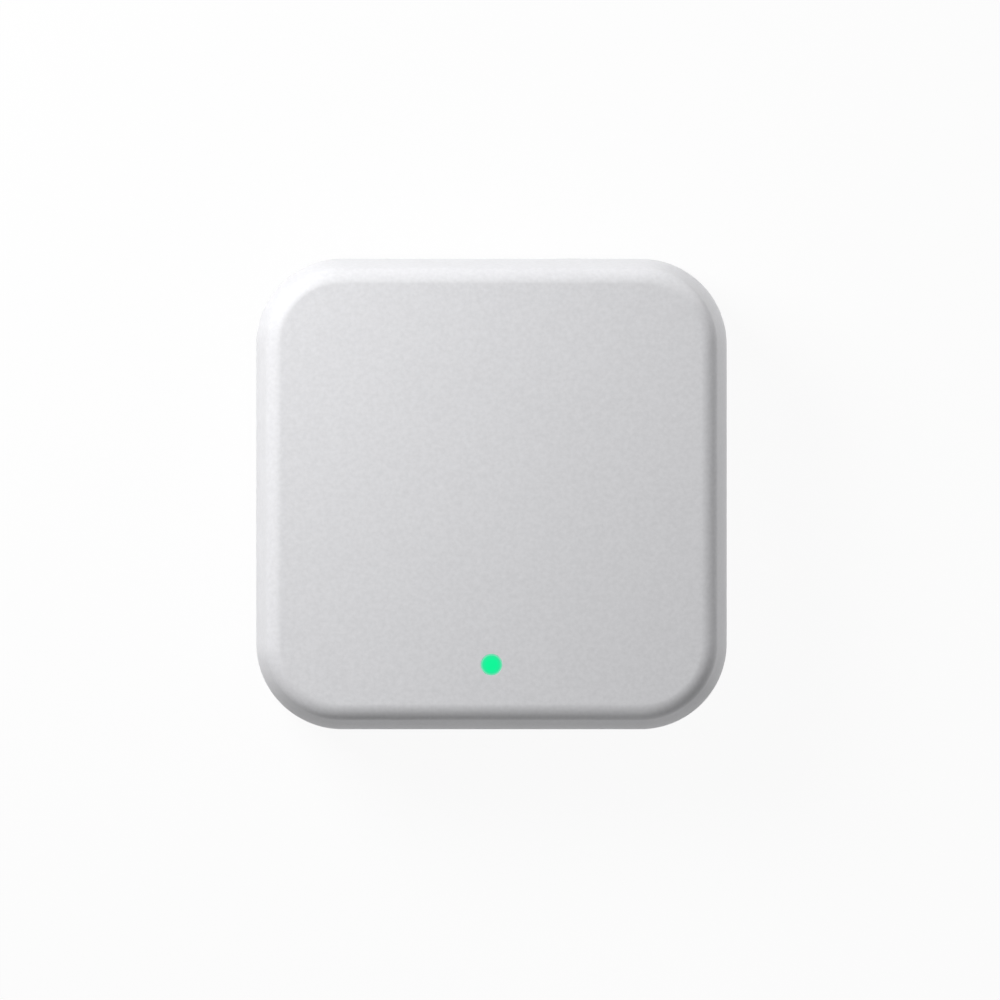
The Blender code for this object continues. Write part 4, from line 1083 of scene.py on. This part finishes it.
def threaded_screw(name, node, shank, head_height):
    """A pan-head screw at the origin, its head below and its thread going up to a blunt tip."""
    low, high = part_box(node)
    head = (high.x - low.x) / 2
    length = high.z - low.z
    core = shank - THREAD_DEPTH
    start = head_height / 2 - THREAD_PITCH
    turns = math.ceil((length - start) / THREAD_PITCH) + 1
    screw = drawn(name, [
        (core, start),
        (core, start + ROOT_END * THREAD_PITCH),
        (shank, start + CREST_START * THREAD_PITCH),
        (shank, start + CREST_END * THREAD_PITCH),
        (core, start + THREAD_PITCH),
    ])
    winding = {"screw_offset": THREAD_PITCH, "iterations": turns, "steps": THREAD_STEPS}
    apply_modifier(screw, "SCREW", render_steps=THREAD_STEPS, **winding)
    pick(screw, "VERT", everything)
    bpy.ops.mesh.remove_doubles(threshold=TOUCH)
    for z, side in ((head_height / 2, -1), (length + THREAD_PITCH / 4, 1)):
        bpy.ops.mesh.select_all(action="SELECT")
        cut = {"plane_co": (0, 0, z), "plane_no": (0, 0, side)}
        bpy.ops.mesh.bisect(use_fill=True, clear_outer=True, **cut)
    bpy.ops.mesh.select_all(action="SELECT")
    bpy.ops.mesh.normals_make_consistent()
    leave_edit()
    envelope = turned("envelope", [
        (0, 0),
        (2 * shank, 0),
        (2 * shank, length - 2 * TIP_LENGTH),
        (shank, length - TIP_LENGTH),
        (core / 2, length),
        (0, length),
    ], SCREW_SIDES)
    combine(screw, "INTERSECT", [envelope])
    round_radius = HEAD_ROUND * head_height
    pan = turned("pan", [
        (0, 0),
        *arc((head - round_radius, round_radius), round_radius, -90, 0, steps=6),
        (head, head_height),
        (0, head_height),
    ], SCREW_SIDES)
    combine(screw, "UNION", [pan])
    reach = RECESS_REACH * head
    width = RECESS_WIDTH * head / 2
    depth = RECESS_DEPTH * head_height
    for turn in (math.pi / 4, 3 * math.pi / 4):
        slot = box("slot", (-reach, -width, -depth), (reach, width, depth))
        pick(slot, "FACE", level(depth))
        bpy.ops.transform.resize(value=RECESS_TAPER)
        leave_edit()
        combine(screw, "DIFFERENCE", [place(slot, (0, 0, 0), (0, 0, turn))])
    finish_shading(screw, angle=40)
    return screw


def fit_screws(name, node, shank, head_height):
    """Makes a screw, and puts copies of it where the four CAD screws are."""
    screw = threaded_screw(f"{name}_1", f"{node}_1", shank, head_height)
    screw.data.materials.append(metal_finish(name, ZINC, roughness=0.38))
    for number, screw in enumerate(four_of(screw, name), 1):
        low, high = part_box(f"{node}_{number}")
        place(screw, ((low.x + high.x) / 2, (low.y + high.y) / 2, low.z))
        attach(screw, "housing")
        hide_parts(f"{node}_{number}")


fit_screws("board_fixing", "board_screw", BOARD_SHANK, BOARD_HEAD_HEIGHT)

# Base plate: the lower half of the housing, moulded in the same white ABS with a deeper grain.
# A plinth under the shell's rim leaves a shadow gap, a lip centres it inside the shell, and four
# counterbored pads take the case screws under the feet.

base_low, base_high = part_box("bottom_cover")
PLINTH_TOP = 2.1 * MM
PLINTH_ROUND = 0.4 * MM
FLOOR_Z = 2.8 * MM
LIP_CLEARANCE = 0.25 * MM
LIP_THICKNESS = 1.2 * MM
LIP_ROUND = 0.2 * MM
PAD = 3.8 * MM
PAD_TOP = 4.7 * MM
FLOOR_RIB_TOP = 4.0 * MM
ROOT_Z = FLOOR_Z - 0.5 * MM
COUNTERBORE = 2.6 * MM
COUNTERBORE_END = 3.3 * MM
FOOT_RECESS = 5.2 * MM
FOOT_RECESS_END = 1.3 * MM
RECESS_ROUND = 0.15 * MM
BASE_WHITE = (0.76, 0.76, 0.77)
BASE_SKIN = {"roughness": 0.6, "grain_size": 0.6 * MM, "depth": 0.03 * MM}

plinth_inset = HALF - base_high.x
plinth = [(plinth_inset, base_low.z), (plinth_inset, PLINTH_TOP)]
base = rounded_block("base_plate", HALF, CORNER, plinth)
round_edges(base, level(base_low.z), PLINTH_ROUND, steps=6)
round_edges(base, level(PLINTH_TOP), RECESS_ROUND, steps=3)
lip_inset = WALL + LIP_CLEARANCE
lip_profile = wall_profile(lip_inset, [PLINTH_TOP - SEAT_GAP, base_high.z])
lip = rounded_block("lip", HALF, CORNER, lip_profile)
round_edges(lip, level(base_high.z), LIP_ROUND, steps=3)
combine(base, "UNION", [lip])
well_profile = wall_profile(lip_inset + LIP_THICKNESS, [FLOOR_Z, base_high.z + WALL])
combine(base, "DIFFERENCE", [rounded_block("well", HALF, CORNER, well_profile)])
combine(base, "UNION", rods_on(CASE_SCREWS, "pad", PAD, ROOT_Z, PAD_TOP))
line = CASE_SCREWS[3].x
reach = line - (PAD + COUNTERBORE) / 2
rib_low = (-reach, line - RIB_THICKNESS / 2, ROOT_Z)
rib_high = (reach, line + RIB_THICKNESS / 2, FLOOR_RIB_TOP)
combine(base, "UNION", quarter_turns(box("rib", rib_low, rib_high), 0))
for radius, end, sides in (
    (CASE_PILOT, PAD_TOP + WALL, PILOT_SIDES),
    (COUNTERBORE, COUNTERBORE_END, 64),
    (FOOT_RECESS, FOOT_RECESS_END, 96),
):
    combine(base, "DIFFERENCE", rods_on(CASE_SCREWS, "hole", radius, -WALL, end, sides))


def at_recess(spot):
    outermost = line + FOOT_RECESS + WALL / 2
    return abs(spot.z - base_low.z) < TOUCH and max(abs(spot.x), abs(spot.y)) < outermost


round_edges(base, rim_of((0, 0, -1), at_recess), RECESS_ROUND, steps=3)
finish_shading(base)
base.data.materials.append(moulded_finish("white_base", BASE_WHITE, **BASE_SKIN))
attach(base, "housing")
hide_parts("bottom_cover")

# Case screws: four longer screws of the same kind, driven up through the base's pads into the bosses
# in the shell's corners, before the feet are glued over their heads.

CASE_SHANK = 1.3 * MM
CASE_HEAD_HEIGHT = 1.7 * MM

fit_screws("case_fixing", "case_screw", CASE_SHANK, CASE_HEAD_HEIGHT)

# Feet: four discs of silicone rubber with a rounded edge, glued into recesses of the base
# over the case screws.

foot_low, foot_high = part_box("foot_1")
FOOT = (foot_high.x - foot_low.x) / 2
FOOT_ROUND = 0.35 * MM
RUBBER_GREY = (0.28, 0.28, 0.29)
RUBBER_SKIN = {"roughness": 0.75, "grain_size": 0.25 * MM, "depth": 0.015 * MM, "drift": 0.08}

foot = turned("rubber_foot_1", [
    (0, 0),
    *arc((FOOT - FOOT_ROUND, FOOT_ROUND), FOOT_ROUND, -90, 0, steps=8),
    *arc((FOOT - SEAT_GAP, foot_high.z - SEAT_GAP), SEAT_GAP, 0, 90, steps=3),
    (0, foot_high.z),
], sides=96)
finish_shading(foot)
foot.data.materials.append(moulded_finish("grey_rubber", RUBBER_GREY, **RUBBER_SKIN))
for number, foot in enumerate(four_of(foot, "rubber_foot"), 1):
    seat = middle(f"foot_{number}")
    place(foot, (seat.x, seat.y, 0))
    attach(foot, "housing")
    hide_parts(f"foot_{number}")

# Studio: a white table under a soft key lamp from the upper left, as in the photograph, with a low
# lamp behind on the right that picks out the walls there and a weak fill in front.
# The table is white to the eye, and still takes a little of the hub's shadow.

FLOOR_SIZE = 6.0
FLOOR_BOUNCE = 0.85
FLOOR_WHITE = 0.94
FLOOR_DROP = 0.02 * MM
AIM = Vector((0, 0, 0.02))
bpy.ops.mesh.primitive_plane_add(size=FLOOR_SIZE, location=(0, 0, -FLOOR_DROP))
floor = name_new("table")
floor_finish, floor_shader = new_finish("white_table", 3 * (FLOOR_BOUNCE,), roughness=0.9)
floor_shader.inputs["Specular IOR Level"].default_value = 0.0
tree = floor_finish.node_tree


def seen_ray(tree):
    """1 for rays from the camera, off a gloss or through glass, and 0 for soft bounces."""
    ray = tree.nodes.new("ShaderNodeLightPath")
    seen = maths(tree, "MAXIMUM", ray.outputs["Is Camera Ray"], ray.outputs["Is Glossy Ray"])
    return maths(tree, "MAXIMUM", seen, ray.outputs["Is Transmission Ray"])


white = tree.nodes.new("ShaderNodeEmission")
blend = tree.nodes.new("ShaderNodeMixShader")
tree.links.new(maths(tree, "MULTIPLY", seen_ray(tree), FLOOR_WHITE), blend.inputs["Fac"])
tree.links.new(floor_shader.outputs["BSDF"], blend.inputs[1])
tree.links.new(white.outputs["Emission"], blend.inputs[2])
tree.links.new(blend.outputs["Shader"], tree.nodes["Material Output"].inputs["Surface"])
floor.data.materials.append(floor_finish)

WORLD_FILL = 0.02
world = bpy.data.worlds.new("studio")
bpy.context.scene.world = world
world.use_nodes = True
tree = world.node_tree
sky = tree.nodes["Background"]
sky.inputs["Color"].default_value = (1, 1, 1, 1)
fill = maths(tree, "MULTIPLY", seen_ray(tree), 1 - WORLD_FILL)
tree.links.new(maths(tree, "ADD", fill, WORLD_FILL), sky.inputs["Strength"])


def area_lamp(name, spot, size, power):
    """A soft square lamp aimed at the hub."""
    data = bpy.data.lights.new(name, "AREA")
    data.size = size
    data.energy = power
    lamp = bpy.data.objects.new(name, data)
    bpy.context.scene.collection.objects.link(lamp)
    lamp.location = spot
    lamp.rotation_euler = (AIM - Vector(spot)).to_track_quat("-Z", "Y").to_euler()


area_lamp("key_lamp", spot=(-0.182, 0.148, 0.245), size=0.16, power=1.07)
area_lamp("low_rear_lamp", spot=(0.233, 0.233, 0.04), size=0.07, power=0.31)
area_lamp("front_fill_lamp", spot=(0.145, -0.252, 0.165), size=0.14, power=0.12)

# Camera: straight above the hub, as in the photograph, which has the hub's middle a little left
# of and above the middle of the picture.

PICTURE = 1000
PHOTO_MIDDLE = (491.5, 494.0)
PHOTO_WIDTH = 471.3
DISTANCE = 6.0
metres_per_pixel = 2 * HALF / PHOTO_WIDTH
camera_data = bpy.data.cameras.new("camera")
camera_data.lens = camera_data.sensor_width * (DISTANCE - BEND_LOW) / (PICTURE * metres_per_pixel)
camera_data.clip_end = 2 * DISTANCE
camera = bpy.data.objects.new("camera", camera_data)
bpy.context.scene.collection.objects.link(camera)
camera.location = (
    (PICTURE / 2 - PHOTO_MIDDLE[0]) * metres_per_pixel,
    (PHOTO_MIDDLE[1] - PICTURE / 2) * metres_per_pixel,
    DISTANCE,
)
bpy.context.scene.camera = camera
bpy.context.scene.view_settings.view_transform = "Standard"
